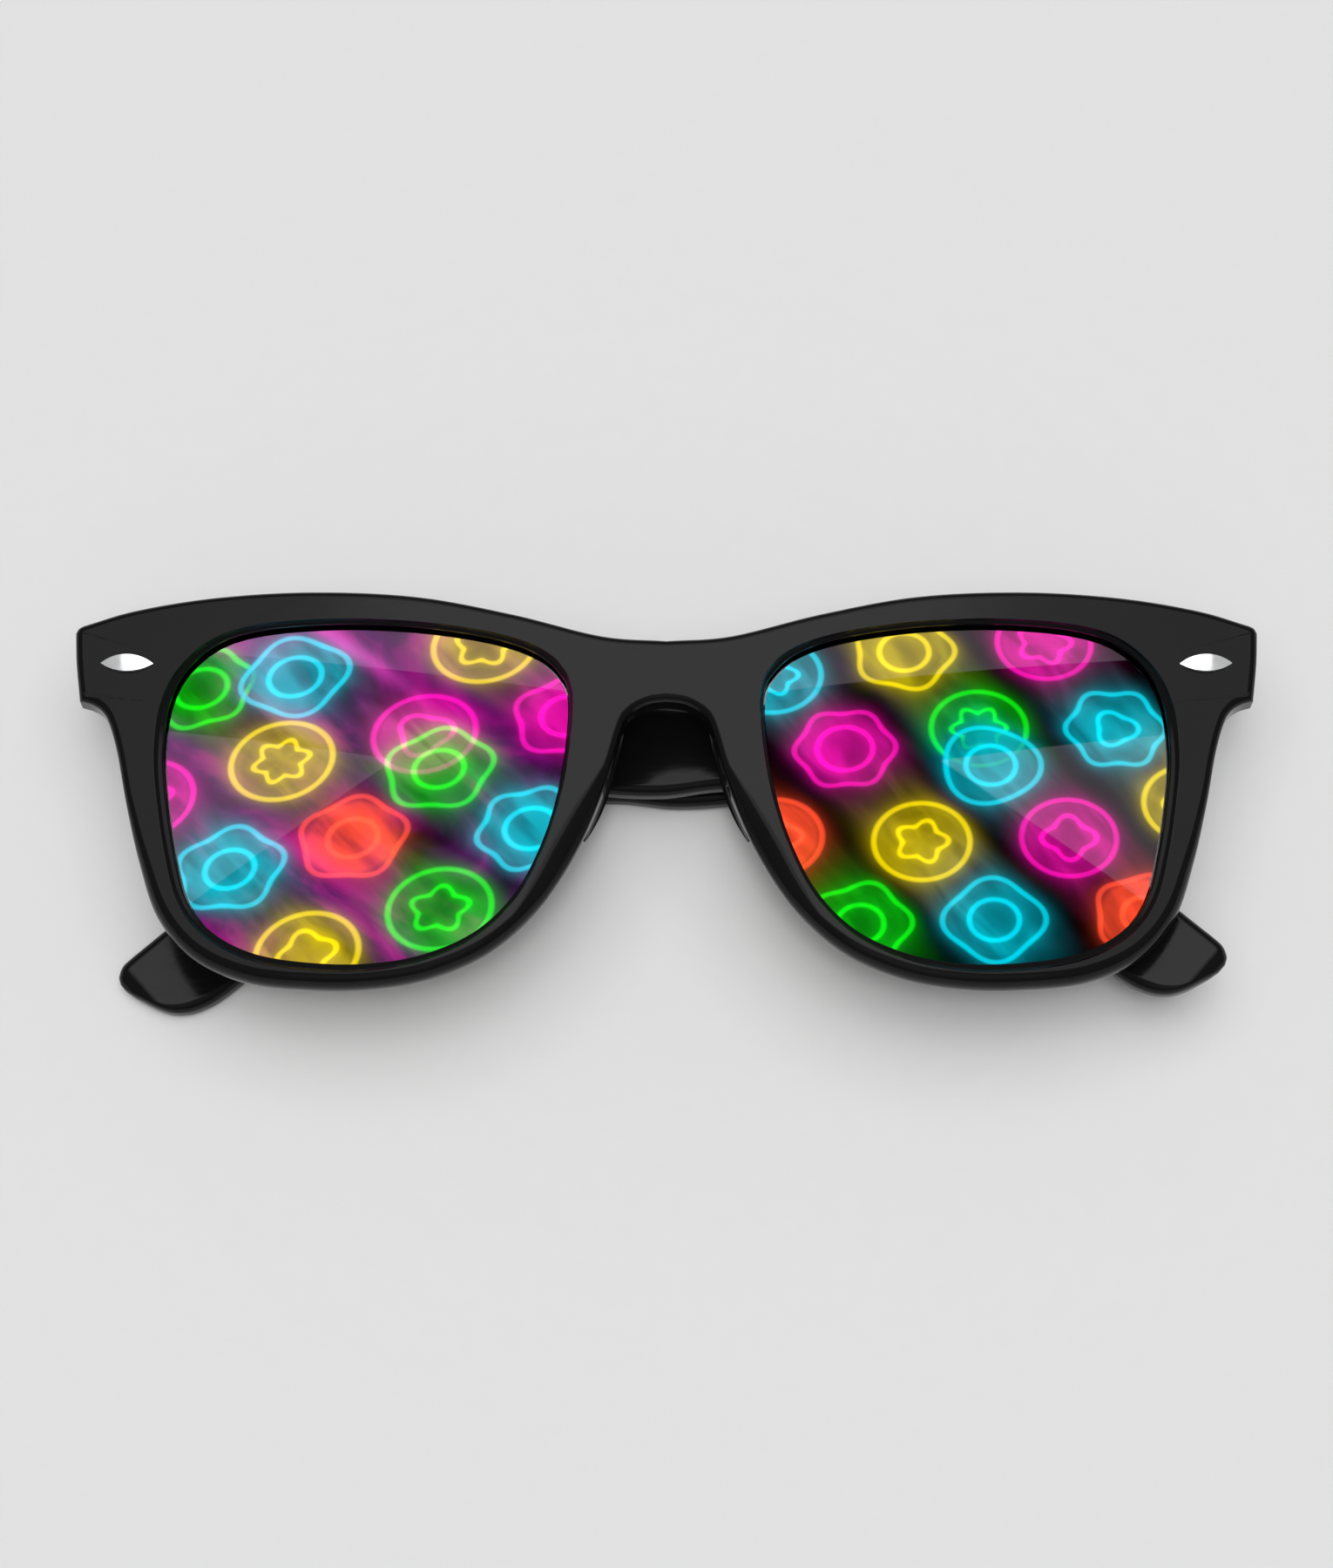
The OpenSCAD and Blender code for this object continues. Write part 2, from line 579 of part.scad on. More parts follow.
// The temple's own axes laid on the hinge: s towards the other hinge, v up, w away from the face
module at_temple(fold) {
    at_hinge() rotate([0, -fold, 0]) rotate([0, 180, 0]) children();
}
module at_leaf() {
    rotate([0, -bow_deg, 0]) children();
}
temple_leaf_from = 2.2;
temple_leaf_to = 10.6;
leaf_proud = 0.5;
leaf_overlap = 0.3;
pin_places = [4.6, 8.6];
pin_depth = 2;
module temple_leaf_pocket() {
    at_leaf() translate([temple_leaf_from - seat_gap, -leaf_half_h - seat_gap, -1])
        cube([temple_leaf_to - temple_leaf_from + 2*seat_gap, 2*(leaf_half_h + seat_gap),
            temple_in + leaf_t - leaf_proud + seat_gap + 1]);
}
module temple_pins(r, low, high) {
    at_leaf() for (s = pin_places) translate([s, 0, low]) cylinder(r = r, h = high - low);
}

module temple(side, fold) {
    color(acetate_black) on_side(side) at_temple(fold) difference() {
        ring_loft([for (place = temple_run) temple_ring(place)]);
        temple_leaf_pocket();
        temple_pins(rivet_r + seat_gap, 0, temple_in + pin_depth + seat_gap);
    }
}

// The leaf on the temple: two barrels, their arms and a plate let into the temple's inner face
module temple_hinge_leaf(side, fold) {
    plate_w = temple_in - leaf_proud;
    color(hinge_steel) on_side(side) at_temple(fold) at_leaf() difference() {
        union() {
            translate([temple_leaf_from, -leaf_half_h, plate_w])
                cube([temple_leaf_to - temple_leaf_from, 2*leaf_half_h, leaf_t]);
            for (k = [1, 3]) {
                barrel(k);
                translate([0, -barrel_h/2 + k*(barrel_slice + barrel_gap), 0])
                    cube([temple_leaf_from + 1, barrel_slice, plate_w + leaf_overlap]);
            }
        }
        screw_bore();
        for (s = pin_places) translate([s, 0, plate_w - 1]) cylinder(r = rivet_r + seat_gap, h = leaf_t + 2);
    }
}

// One of the two rivets through the temple's leaf into the temple
module temple_rivet(side, fold, s) {
    leaf_face = temple_in - leaf_proud;
    color(polished_steel) on_side(side) at_temple(fold) at_leaf() translate([s, 0, 0]) {
        translate([0, 0, leaf_face - 0.3*leaf_t]) cylinder(r = rivet_r, h = 1.3*leaf_t + pin_depth - leaf_proud);
        translate([0, 0, leaf_face - 0.33*leaf_t]) cylinder(r = 1.6*rivet_r, h = 0.3*leaf_t);
    }
}

// The lowest point of the outer temple sets how high the hinge pins lie over the floor
outer_depths = [
    for (place = temple_run, p = temple_ring(place)) p[2]*cos(fold_outer) + p[0]*sin(fold_outer)
];
pin_z = max(outer_depths);

front_frame();
nose_pad(-1);  // nose_pad_left
nose_pad(1);  // nose_pad_right
lens(-1);  // lens_left
lens(1);  // lens_right
diffraction_film(-1);  // diffraction_film_left
diffraction_film(1);  // diffraction_film_right
rivet_plaque(-1);  // rivet_plaque_left
rivet_plaque(1);  // rivet_plaque_right
front_hinge_leaf(-1);  // front_hinge_leaf_left
front_hinge_leaf(1);  // front_hinge_leaf_right
hinge_screw(-1);  // hinge_screw_left
hinge_screw(1);  // hinge_screw_right
temple(-1, fold_inner);  // temple_left
temple(1, fold_outer);  // temple_right
temple_hinge_leaf(-1, fold_inner);  // temple_hinge_leaf_left
temple_hinge_leaf(1, fold_outer);  // temple_hinge_leaf_right
temple_rivet(-1, fold_inner, pin_places[0]);  // temple_rivet_front_left
temple_rivet(1, fold_outer, pin_places[0]);  // temple_rivet_front_right
temple_rivet(-1, fold_inner, pin_places[1]);  // temple_rivet_rear_left
temple_rivet(1, fold_outer, pin_places[1]);  // temple_rivet_rear_right
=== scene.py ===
import bpy
import math
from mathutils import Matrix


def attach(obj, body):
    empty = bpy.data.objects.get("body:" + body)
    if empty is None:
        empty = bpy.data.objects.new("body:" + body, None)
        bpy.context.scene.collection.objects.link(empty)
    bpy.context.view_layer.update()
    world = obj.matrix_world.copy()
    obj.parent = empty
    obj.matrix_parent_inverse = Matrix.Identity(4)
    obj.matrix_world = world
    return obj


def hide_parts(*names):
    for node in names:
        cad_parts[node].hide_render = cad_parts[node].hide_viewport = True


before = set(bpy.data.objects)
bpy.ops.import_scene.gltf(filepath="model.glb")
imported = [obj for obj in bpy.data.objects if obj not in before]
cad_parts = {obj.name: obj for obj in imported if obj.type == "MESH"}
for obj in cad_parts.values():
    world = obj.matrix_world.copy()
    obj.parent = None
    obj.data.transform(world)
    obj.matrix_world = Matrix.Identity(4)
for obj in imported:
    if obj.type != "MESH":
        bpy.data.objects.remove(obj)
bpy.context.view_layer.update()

# Sizes in millimetres and angles in degrees, in the frame of the front: x from its middle to the picture's right, y up
# from the hinge level, z out of its face from the hinge pins. The right half is drawn, and the left one mirrors it.
MM = 0.001
# The front's plate: thickness, how far its ends wrap back, and the rounding of its edges
FRONT_T, WRAP_DEPTH, EDGE_R = 4.5, 5.0, 0.9
# Its outline, with heights from the hinge level: the rims' width, the brow, the bridge and the arch under it
RIM_W, BROW_H, BRIDGE_W, BRIDGE_TOP, ARCH_DROP, ARCH_HALF_W, ARCH_CURVE_H = 2.85, 8.8, 24.2, 1.8, 6.0, 4.9, 2.1
# The end pieces, and the curve that steps in from them to the rims
END_W, END_TOP, END_LOW, END_STEP, END_CURVE_H = 11.65, 5.3, 4.4, 4.7, 3.2
# The windows: the openings that they fill, and the shell that they are cut from
LENS_W, LENS_H, LENS_DROP = 50.0, 43.5, 17.2
LENS_T, LENS_R, LENS_CROWN = 1.6, 200.0, 0.1
# The rims' edges: the window's groove, the step around it, the roll of the lower edge and the bevel beside the nose
GROOVE_GAP, GROOVE_D, GROOVE_SLANT, STEP_W = 0.06, 0.9, 0.1, 1.2
ROLL_W, ROLL_D, NOSE_BEVEL_W, NOSE_BEVEL_D = 1.6, 2.2, 3.2, 2.4
# The nose pads, glued behind the rims
PAD_REACH, PAD_T, PAD_SET_IN, PAD_FROM, PAD_TO, GLUE_GAP = 5.5, 3.0, 0.8, 8.9, 23.0, 0.03
# The temples: length, bend, thickness, heights along them, the belly of the lower edge and the bow outwards
TEMPLE_LEN, BEND_AT, BEND_ANGLE, BEND_R = 144.5, 100.0, 35.0, 30.0
TEMPLE_T, TEMPLE_THIN_T = 4.0, 3.6
H_HINGE, H_MID, H_BEND, H_TIP, BELLY_AT, BELLY_D = 9.8, 12.4, 9.6, 11.4, 60.0, 0.9
BOW_SLOPE, BOW_FROM, BOW_TO = 0.075, 20.0, 65.0
# The hinge pins, how the temples sit on them, and how they lie when they are folded
PIVOT_X, PIVOT_BACK, TEMPLE_IN, BUTT_BACK = 67.2, 2.1, 1.9, 1.8
FOLD_SLOPE, FOLD_INNER, FOLD_OUTER = 6.2, 0.0, 4.3

HALF_W = BRIDGE_W/2 + LENS_W + END_W
LENS_C = ((BRIDGE_W + LENS_W)/2, -LENS_DROP)
HINGE_Y = (END_TOP - END_LOW)/2

# Points on the edge of the right opening, as shares of its width and height, and how wide the rim is outside each, as
# a share of RIM_W, or 0 where the outline doesn't follow the opening
OPENING = [
    (0.10, 0.5, 0), (0.26, 0.49, 0), (0.37, 0.455, 0), (0.45, 0.375, 0), (0.49, 0.27, 0),
    (0.5, 0.13, 2.03), (0.49, 0, 1.77), (0.465, -0.165, 1.59), (0.43, -0.305, 1.45), (0.365, -0.4, 1.35),
    (0.26, -0.465, 1.2), (0.12, -0.495, 1.06), (-0.02, -0.5, 1), (-0.155, -0.475, 0.99), (-0.28, -0.41, 1.02),
    (-0.375, -0.3, 1.16), (-0.44, -0.15, 1.46), (-0.48, 0.01, 1.84), (-0.5, 0.18, 2.28),
    (-0.5, 0.29, 0), (-0.47, 0.355, 0), (-0.41, 0.41, 0), (-0.31, 0.45, 0), (-0.165, 0.48, 0), (-0.03, 0.495, 0),
]
# The floor's frame has its middle under the middle of the front's height: how far up from there the hinge level is
level_y = (LENS_DROP + LENS_H/2 + RIM_W - BROW_H)/2


def face_z(x):
    """How high the front's face is: it wraps back towards both ends."""
    return PIVOT_BACK + FRONT_T + WRAP_DEPTH*(1 - (x/HALF_W)**2)


def back_z(x):
    return face_z(x) - FRONT_T


def unit(v):
    length = math.hypot(*v)
    return tuple(c/length for c in v)


def outward(a, b):
    """The unit vector to the left of the way from a to b."""
    return unit((a[1] - b[1], b[0] - a[0]))


def shifted(p, way, r):
    """The point p moved by r along a unit vector."""
    return (p[0] + way[0]*r, p[1] + way[1]*r)


def smooth_run(points, steps, closed=False):
    """A smooth curve through the points, with so many pieces between each two."""
    n = len(points)
    if closed:
        rows = [points[-1]] + points + points[:2]
    else:
        ahead = tuple(2*p - q for p, q in zip(points[0], points[1]))
        behind = tuple(2*p - q for p, q in zip(points[-1], points[-2]))
        rows = [ahead] + points + [behind]
    run = []
    for i in range(n if closed else n - 1):
        for k in range(steps):
            t = k/steps
            run.append(tuple(
                0.5*(2*b + (c - a)*t + (2*a - 5*b + 4*c - d)*t*t + (3*b - a - 3*c + d)*t**3)
                for a, b, c, d in zip(*rows[i:i + 4])))
    return run if closed else run + [points[-1]]


def ray_hit(c, o, curve):
    """Where the way from c towards o crosses a closed curve."""
    dx, dy = o[0] - c[0], o[1] - c[1]
    for i, p in enumerate(curve):
        q = curve[(i + 1) % len(curve)]
        px, py, qx, qy = p[0] - c[0], p[1] - c[1], q[0] - c[0], q[1] - c[1]
        sp, sq = py*dx - px*dy, qy*dx - qx*dy
        if (sp <= 0) != (sq <= 0) and (px + qx)*dx + (py + qy)*dy > 0:
            t = sp/(sp - sq)
            return (c[0] + px + (qx - px)*t, c[1] + py + (qy - py)*t)


# How many pieces each curve has between two of its points
OPENING_STEPS, BROW_STEPS, END_STEPS, RIM_STEPS, MIDDLE_STEPS = 16, 12, 4, 8, 6

# The outline of the right half of the front, clockwise from the middle of the brow to the nose arch, and then up the
# middle of the bridge
opening_points = [(LENS_C[0] + a*LENS_W, LENS_C[1] + b*LENS_H) for a, b, _ in OPENING]
opening_edge = smooth_run(opening_points, OPENING_STEPS, closed=True)
brow_rise, brow_fall, end_h = BROW_H - BRIDGE_TOP, BROW_H - END_TOP, END_TOP + END_LOW
brow_run = smooth_run([
    (0, BRIDGE_TOP), (BRIDGE_W/3, BRIDGE_TOP + 0.095*brow_rise),
    (LENS_C[0] - 0.36*LENS_W, BRIDGE_TOP + 0.515*brow_rise), (LENS_C[0] - 0.12*LENS_W, BRIDGE_TOP + 0.87*brow_rise),
    (LENS_C[0] + 0.14*LENS_W, BROW_H), (LENS_C[0] + 0.38*LENS_W, BROW_H - 0.1*brow_fall),
    (HALF_W - 0.66*END_W, BROW_H - 0.47*brow_fall), (HALF_W - 1.1*EDGE_R, END_TOP + 0.03*brow_fall)], BROW_STEPS)
end_corner = smooth_run([
    brow_run[-1], (HALF_W - 0.4*EDGE_R, END_TOP - 0.07*brow_fall), (HALF_W, END_TOP - EDGE_R)], END_STEPS)[1:]
end_side = smooth_run([
    end_corner[-1], (HALF_W - 0.05*END_STEP, END_TOP - end_h/2), (HALF_W - 0.18*END_STEP, -END_LOW)], END_STEPS)[1:]
rim_points = []
for i, (_, _, rim_share) in enumerate(OPENING):
    if rim_share > 0:
        side = outward(opening_points[i - 1], opening_points[i + 1])
        rim_points.append(shifted(opening_points[i], side, rim_share*RIM_W))
rim_run = smooth_run([
    end_side[-1], (HALF_W - 0.51*END_STEP, -END_LOW - 0.17*END_CURVE_H),
    (HALF_W - 0.79*END_STEP, -END_LOW - 0.47*END_CURVE_H), (HALF_W - END_STEP, -END_LOW - END_CURVE_H)]
    + rim_points + [(ARCH_HALF_W, -ARCH_DROP - ARCH_CURVE_H)], RIM_STEPS)[1:]
arch_run = smooth_run([
    rim_run[-1], (ARCH_HALF_W*0.8, -ARCH_DROP - 0.57*ARCH_CURVE_H),
    (ARCH_HALF_W*0.43, -ARCH_DROP - 0.14*ARCH_CURVE_H), (0, -ARCH_DROP)], RIM_STEPS)[1:]
middle_run = [(0, -ARCH_DROP + EDGE_R + k/MIDDLE_STEPS*(BRIDGE_TOP + ARCH_DROP - 2*EDGE_R))
              for k in range(1, MIDDLE_STEPS)]
outline = brow_run + end_corner + end_side + rim_run + arch_run + middle_run
stations = len(outline)
arch_station = stations - len(middle_run) - 1

# Each station joins a place on the outline to the place on the opening's edge that lies towards this point
loft_c = (LENS_C[0], LENS_C[1] + 0.215*LENS_H)
opening_at = [ray_hit(loft_c, p, opening_edge) for p in outline]
opening_side = [outward(opening_at[i - 1], opening_at[(i + 1) % stations]) for i in range(stations)]
# The middle of the window's spherical shell, which leans as the wrapped face does
lens_lean = math.atan(2*WRAP_DEPTH*LENS_C[0]/HALF_W**2)
lens_centre = (LENS_C[0] + (LENS_CROWN - LENS_R)*math.sin(lens_lean), LENS_C[1],
               face_z(LENS_C[0]) + (LENS_CROWN - LENS_R)*math.cos(lens_lean))


def lens_z(p, r):
    """How high the shell of radius r is at a point."""
    return lens_centre[2] + math.sqrt(r*r - (p[0] - lens_centre[0])**2 - (p[1] - lens_centre[1])**2)


# The bevel on the nose side of a rim: 1 in its middle, 0 at both ends
bevel_top, bevel_low = -ARCH_DROP - 4*ARCH_CURVE_H, -LENS_DROP - 0.44*LENS_H


def nose_bevel(p):
    if p[0] > LENS_C[0] - 0.2*LENS_W or p[1] > bevel_top or p[1] < bevel_low:
        return 0.0
    return math.sin(math.pi*(bevel_top - p[1])/(bevel_top - bevel_low))


# The roll of the outer edge: 0 beside the windows, growing to 1 under them
roll_top, roll_run = 0.06*LENS_H - LENS_DROP, 0.4*LENS_H


def edge_roll(p):
    s = min(1, max(0, (roll_top - p[1])/roll_run))
    return s*s*(3 - 2*s)


# The step around a window, outward from the opening's edge: share of its width, share of its depth
STEP_SHAPE = [(0, 1), (0.02, 0.78), (0.08, 0.66), (0.2, 0.6), (0.5, 0.5), (0.72, 0.38), (0.84, 0.2), (0.93, 0.06),
              (1, 0)]
# The share by which it is narrower under the brow and on the nose side
SLIM_STEP = 0.6
# The eased edge behind a window: how far from the opening the back's flat ends and the easing starts, then the easing's
# points, out from the opening and up from the back
BACK_FLAT_END, EASE_START, EASE_SHAPE = 1.0, 0.9, [(0.45, 0.1), (0.12, 0.35), (0, 0.7)]
ROUND_STEPS, FACE_STEPS = 7, 6
# The first and last point of a ring's outer edge, from the end of the face to the start of the back. In the middle of
# the bridge, where the two halves meet, they share these points.
EDGE_FIRST = len(STEP_SHAPE) + FACE_STEPS
EDGE_LAST = EDGE_FIRST + 2*ROUND_STEPS + 3
# Keeps the ends of a flat row clear of the points of the step and the roundings
TINY = 0.04


def flat_row(a, b, height):
    """Evenly spaced points from a to b, on the face or the back."""
    row = []
    for k in range(FACE_STEPS + 1):
        x, y = (p + (q - p)*k/FACE_STEPS for p, q in zip(a, b))
        row.append((x, y, height(x)))
    return row


def rim_ring(i):
    """The points around the rim's section at one station: step, face, outer edge, back and groove."""
    # a is on the opening's edge and o on the outline, and n and m point out of the window and out of the front there
    a, n, o = opening_at[i], opening_side[i], outline[i]
    if i == 0:
        m = (0, 1)
    elif i == arch_station:
        m = (0, -1)
    else:
        m = outward(outline[i - 1], outline[(i + 1) % stations])

    def in_from_edge(r):
        return o if i > arch_station else shifted(o, m, -r)

    bevel, roll = nose_bevel(o), edge_roll(o)
    face_w = EDGE_R + max(bevel*(NOSE_BEVEL_W - EDGE_R), roll*(ROLL_W - EDGE_R))
    face_d = EDGE_R + max(bevel*(NOSE_BEVEL_D - EDGE_R), roll*(ROLL_D - EDGE_R))
    back_d = EDGE_R + roll*(ROLL_D - EDGE_R)
    step_w = STEP_W*(1 - SLIM_STEP*max(0, -n[0], n[1]))
    seat, groove_low = lens_z(a, LENS_R) + GROOVE_GAP, lens_z(a, LENS_R - LENS_T) - GROOVE_GAP
    ring = []
    for share, depth in STEP_SHAPE:
        at = shifted(a, n, share*step_w)
        top = face_z(at[0])
        ring.append((*at, top + depth*(seat - top)))
    ring += flat_row(shifted(a, n, step_w + TINY), in_from_edge(face_w + TINY), face_z)
    quarter = [math.pi/2*k/ROUND_STEPS for k in range(ROUND_STEPS + 1)]
    for t in quarter:
        r = face_w*(1 - math.sin(t))
        ring.append((*in_from_edge(r), face_z(o[0] - m[0]*r) - face_d*(1 - math.cos(t))))
    for t in quarter:
        r = EDGE_R*(1 - math.cos(t))
        ring.append((*in_from_edge(r), back_z(o[0] - m[0]*r) + back_d*(1 - math.sin(t))))
    ring += flat_row(in_from_edge(EDGE_R + TINY), shifted(a, n, BACK_FLAT_END), back_z)
    at = shifted(a, n, EASE_START)
    ring.append((*at, back_z(at[0])))
    for r, up in EASE_SHAPE:
        ring.append((*shifted(a, n, r), back_z(a[0]) + up))
    groove_end = shifted(a, n, GROOVE_D)
    return ring + [(*a, groove_low), (*groove_end, groove_low), (*groove_end, seat - GROOVE_SLANT)]


def to_floor(p):
    """From the front's frame in millimetres to the floor's frame in metres."""
    return (p[0]*MM, (p[1] + level_y)*MM, (p[2] + pin_z)*MM)


SHARP_ANGLE = math.radians(38)


def mesh_piece(name, points, faces):
    """A smooth-shaded mesh object, with its sharp edges marked by angle."""
    mesh = bpy.data.meshes.new(name)
    mesh.from_pydata([to_floor(p) for p in points], [], faces)
    mesh.validate()
    mesh.shade_smooth()
    mesh.set_sharp_from_angle(angle=SHARP_ANGLE)
    piece = bpy.data.objects.new(name, mesh)
    bpy.context.scene.collection.objects.link(piece)
    weighting = piece.modifiers.new("face_weights", "WEIGHTED_NORMAL")
    weighting.keep_sharp = True
    return piece


def front_mesh():
    """The front's closed skin: the right half's rings and their mirror images, joined down the middle of the bridge."""
    rings = [rim_ring(i) for i in range(stations)]
    size = len(rings[0])
    points, number = [], {}
    for half, sign in enumerate((1, -1)):
        for i, ring in enumerate(rings):
            for j, p in enumerate(ring):
                shared = (i == 0 or i >= arch_station) and EDGE_FIRST <= j <= EDGE_LAST
                key = (0 if shared else half, i, j)
                if key not in number:
                    number[key] = len(points)
                    points.append((sign*p[0], p[1], p[2]))
                number[(half, i, j)] = number[key]
    faces = []
    for half in (0, 1):
        for i in range(stations):
            for j in range(size):
                if i >= arch_station and EDGE_FIRST <= j < EDGE_LAST:
                    continue
                next_i, next_j = (i + 1) % stations, (j + 1) % size
                quad = [number[(half, *c)] for c in ((i, j), (i, next_j), (next_i, next_j), (next_i, j))]
                faces.append(quad if half else quad[::-1])
    return points, faces


def loft(rings):
    """Faces over rings of equally many points, closed at both ends."""
    m = len(rings[0])
    points = [p for ring in rings for p in ring]
    faces = [(i*m + j, (i + 1)*m + j, (i + 1)*m + (j + 1) % m, i*m + (j + 1) % m)
             for i in range(len(rings) - 1) for j in range(m)]
    faces.append(tuple(range(m)))
    faces.append(tuple(range(len(points) - 1, len(points) - m - 1, -1)))
    return points, faces


# Nose pads: rounded fins behind the nose sides of the rims, fading out at both ends. The section's points: from the
# rim's outline inwards, as a share of PAD_T, or of PAD_SET_IN where it is below 0, and back as a share of PAD_REACH.
PAD_SECTION = [(1, 0), (0.93, 0.5), (0.68, 0.86), (0.36, 1), (0.1, 0.97), (-0.5, 0.8), (-1, 0.45), (-0.6, 0)]
PAD_STEPS, SECTION_STEPS = 40, 4
# The part of a step that is left off at each end, and the power that fills out the swell and moves it up
PAD_END, PAD_SWELL = 0.3, 0.8


def pad_rings(sign):
    """The rings of a pad from its top down, where each sits on the outline of the rim's nose side."""
    section = smooth_run(PAD_SECTION, SECTION_STEPS)
    nose_side = [(p, q) for p, q in zip(outline[:arch_station], outline[1:arch_station + 1])
                 if p[0] < LENS_C[0] and q[1] > p[1]]
    rings = []
    for k in range(PAD_STEPS + 1):
        t = (k + PAD_END)/(PAD_STEPS + 2*PAD_END)
        y = -PAD_FROM - t*(PAD_TO - PAD_FROM)
        p, q = next(pair for pair in reversed(nose_side) if pair[0][1] <= y < pair[1][1])
        x = p[0] + (q[0] - p[0])*(y - p[1])/(q[1] - p[1])
        n = outward(p, q)
        swell = math.sin(math.pi*t**PAD_SWELL)**PAD_SWELL
        ring = []
        for across, down in section:
            r = across*PAD_T if across > 0 else -across*PAD_SET_IN*swell
            at = shifted((x, y), n, -r)
            ring.append((sign*at[0], at[1], back_z(at[0]) - GLUE_GAP - down*PAD_REACH*swell))
        rings.append(ring if sign > 0 else ring[::-1])
    return rings


# Temples: s runs along a temple, v up and w outward from its hinge pin, and u along its bent middle line
bend_from = BEND_AT - BEND_R*math.radians(BEND_ANGLE)/2
bend_to = BEND_AT + BEND_R*math.radians(BEND_ANGLE)/2
butt_lean = 2*WRAP_DEPTH*(PIVOT_X + TEMPLE_IN)/HALF_W**2
top_mid = 0.435*H_MID
# Places along a temple: u, and the upper and lower edge there, from the middle line
TEMPLE_PLACES = [
    (-BUTT_BACK, H_HINGE/2, -H_HINGE/2), (0.2*BELLY_AT, 0.51*H_HINGE, -0.52*H_HINGE),
    (0.6*BELLY_AT, top_mid, -H_MID/2), (0.94*BELLY_AT, top_mid, -H_MID/2 - BELLY_D),
    (1.12*BELLY_AT, top_mid, -H_MID/2 - 0.8*BELLY_D), (1.27*BELLY_AT, 0.53*H_BEND, -0.54*H_BEND),
    (0.9*BEND_AT, H_BEND/2, -H_BEND/2), (1.06*BEND_AT, H_BEND/2, -H_BEND/2),
    (TEMPLE_LEN - 2.5*H_TIP, 0.48*H_TIP, -0.46*H_TIP), (TEMPLE_LEN - 1.5*H_TIP, H_TIP/2, -H_TIP/2),
    (TEMPLE_LEN - 0.8*H_TIP, H_TIP/2, -H_TIP/2), (TEMPLE_LEN - 0.48*H_TIP, H_TIP/2, -0.44*H_TIP),
    (TEMPLE_LEN - 0.28*H_TIP, H_TIP/2, -0.33*H_TIP), (TEMPLE_LEN - 0.15*H_TIP, 0.49*H_TIP, -0.17*H_TIP),
    (TEMPLE_LEN - 0.045*H_TIP, 0.44*H_TIP, 0.08*H_TIP), (TEMPLE_LEN, 0.36*H_TIP, 0.24*H_TIP),
]
PLACE_STEPS, CORNER_STEPS = 8, 8
# The rounding of the long edges, and the most of the half thickness and half height that it may take up
SOFT_R, MOST_OF_T, MOST_OF_H = 1.3, 0.96, 0.9
# The length over which the tip rounds off, and the share of its squared thickness that it loses
TIP_ROUND, TIP_THINS = 0.2*H_TIP, 0.93
# The butt's face is let in by so much, this far from its edges
BUTT_DISH, BUTT_RIM = 0.02, 0.25


def bend_turn(u):
    """How far the temple has turned down at u."""
    return math.radians(BEND_ANGLE)*min(1, max(0, (u - bend_from)/(bend_to - bend_from)))


def middle_at(u):
    """Where the middle line is at u, as s and v."""
    if u < bend_from:
        return (u, 0)
    a = bend_turn(u)
    on = max(0, u - bend_to)
    return (bend_from + BEND_R*math.sin(a) + on*math.cos(a), BEND_R*(math.cos(a) - 1) - on*math.sin(a))


def bow(s):
    """How far outward the temple bows: it runs out up to BOW_FROM, turns evenly, and runs back in from BOW_TO on."""
    t = min(BOW_TO, max(BOW_FROM, s))
    return BOW_SLOPE*(min(s, BOW_TO) - (t - BOW_FROM)**2/(BOW_TO - BOW_FROM) - max(0, s - BOW_TO))


def body_thick(u):
    """The thickness at u: it runs down to TEMPLE_THIN_T at BOW_TO."""
    return TEMPLE_T + min(1, max(0, u/BOW_TO))*(TEMPLE_THIN_T - TEMPLE_T)


def temple_ring(u, upper, lower):
    """The section at u: a rectangle with rounded corners, whose sides follow the bow."""
    tip = max(0, 1 - (TEMPLE_LEN - u)/TIP_ROUND)
    mid, half_h, half_t = (upper + lower)/2, (upper - lower)/2, body_thick(u)*math.sqrt(1 - TIP_THINS*tip*tip)/2
    r = min(SOFT_R, MOST_OF_T*half_t, MOST_OF_H*half_h)
    at, turn = middle_at(u), bend_turn(u)
    ring = []
    for c in (3, 2, 1, 0):
        for k in range(CORNER_STEPS, -1, -1):
            a = math.pi/2*(c + k/CORNER_STEPS)
            v = mid + (1 if c in (0, 3) else -1)*(half_h - r) + r*math.cos(a)
            w = (1 if c < 2 else -1)*(half_t - r) + r*math.sin(a)
            lean = butt_lean*(half_t - w) if u < 0 else 0
            s = at[0] + math.sin(turn)*v
            ring.append((s - lean, at[1] + math.cos(turn)*v, TEMPLE_IN + body_thick(u)/2 + bow(s) + w))
    return ring


def temple_rings(sign, fold):
    """The rings of a folded temple in the front's frame, from the butt to the tip."""
    rings = [temple_ring(-BUTT_BACK + BUTT_DISH, H_HINGE/2 - BUTT_RIM, BUTT_RIM - H_HINGE/2)]
    rings += [temple_ring(*place) for place in smooth_run(TEMPLE_PLACES, PLACE_STEPS)]
    a, b = math.radians(fold), math.radians(FOLD_SLOPE)
    turned = []
    for ring in rings:
        new = []
        for s, v, w in ring:
            x, z = -s*math.cos(a) + w*math.sin(a), -w*math.cos(a) - s*math.sin(a)
            new.append((sign*(PIVOT_X + x*math.cos(b) - v*math.sin(b)), HINGE_Y + x*math.sin(b) + v*math.cos(b), z))
        turned.append(new if sign > 0 else new[::-1])
    return turned


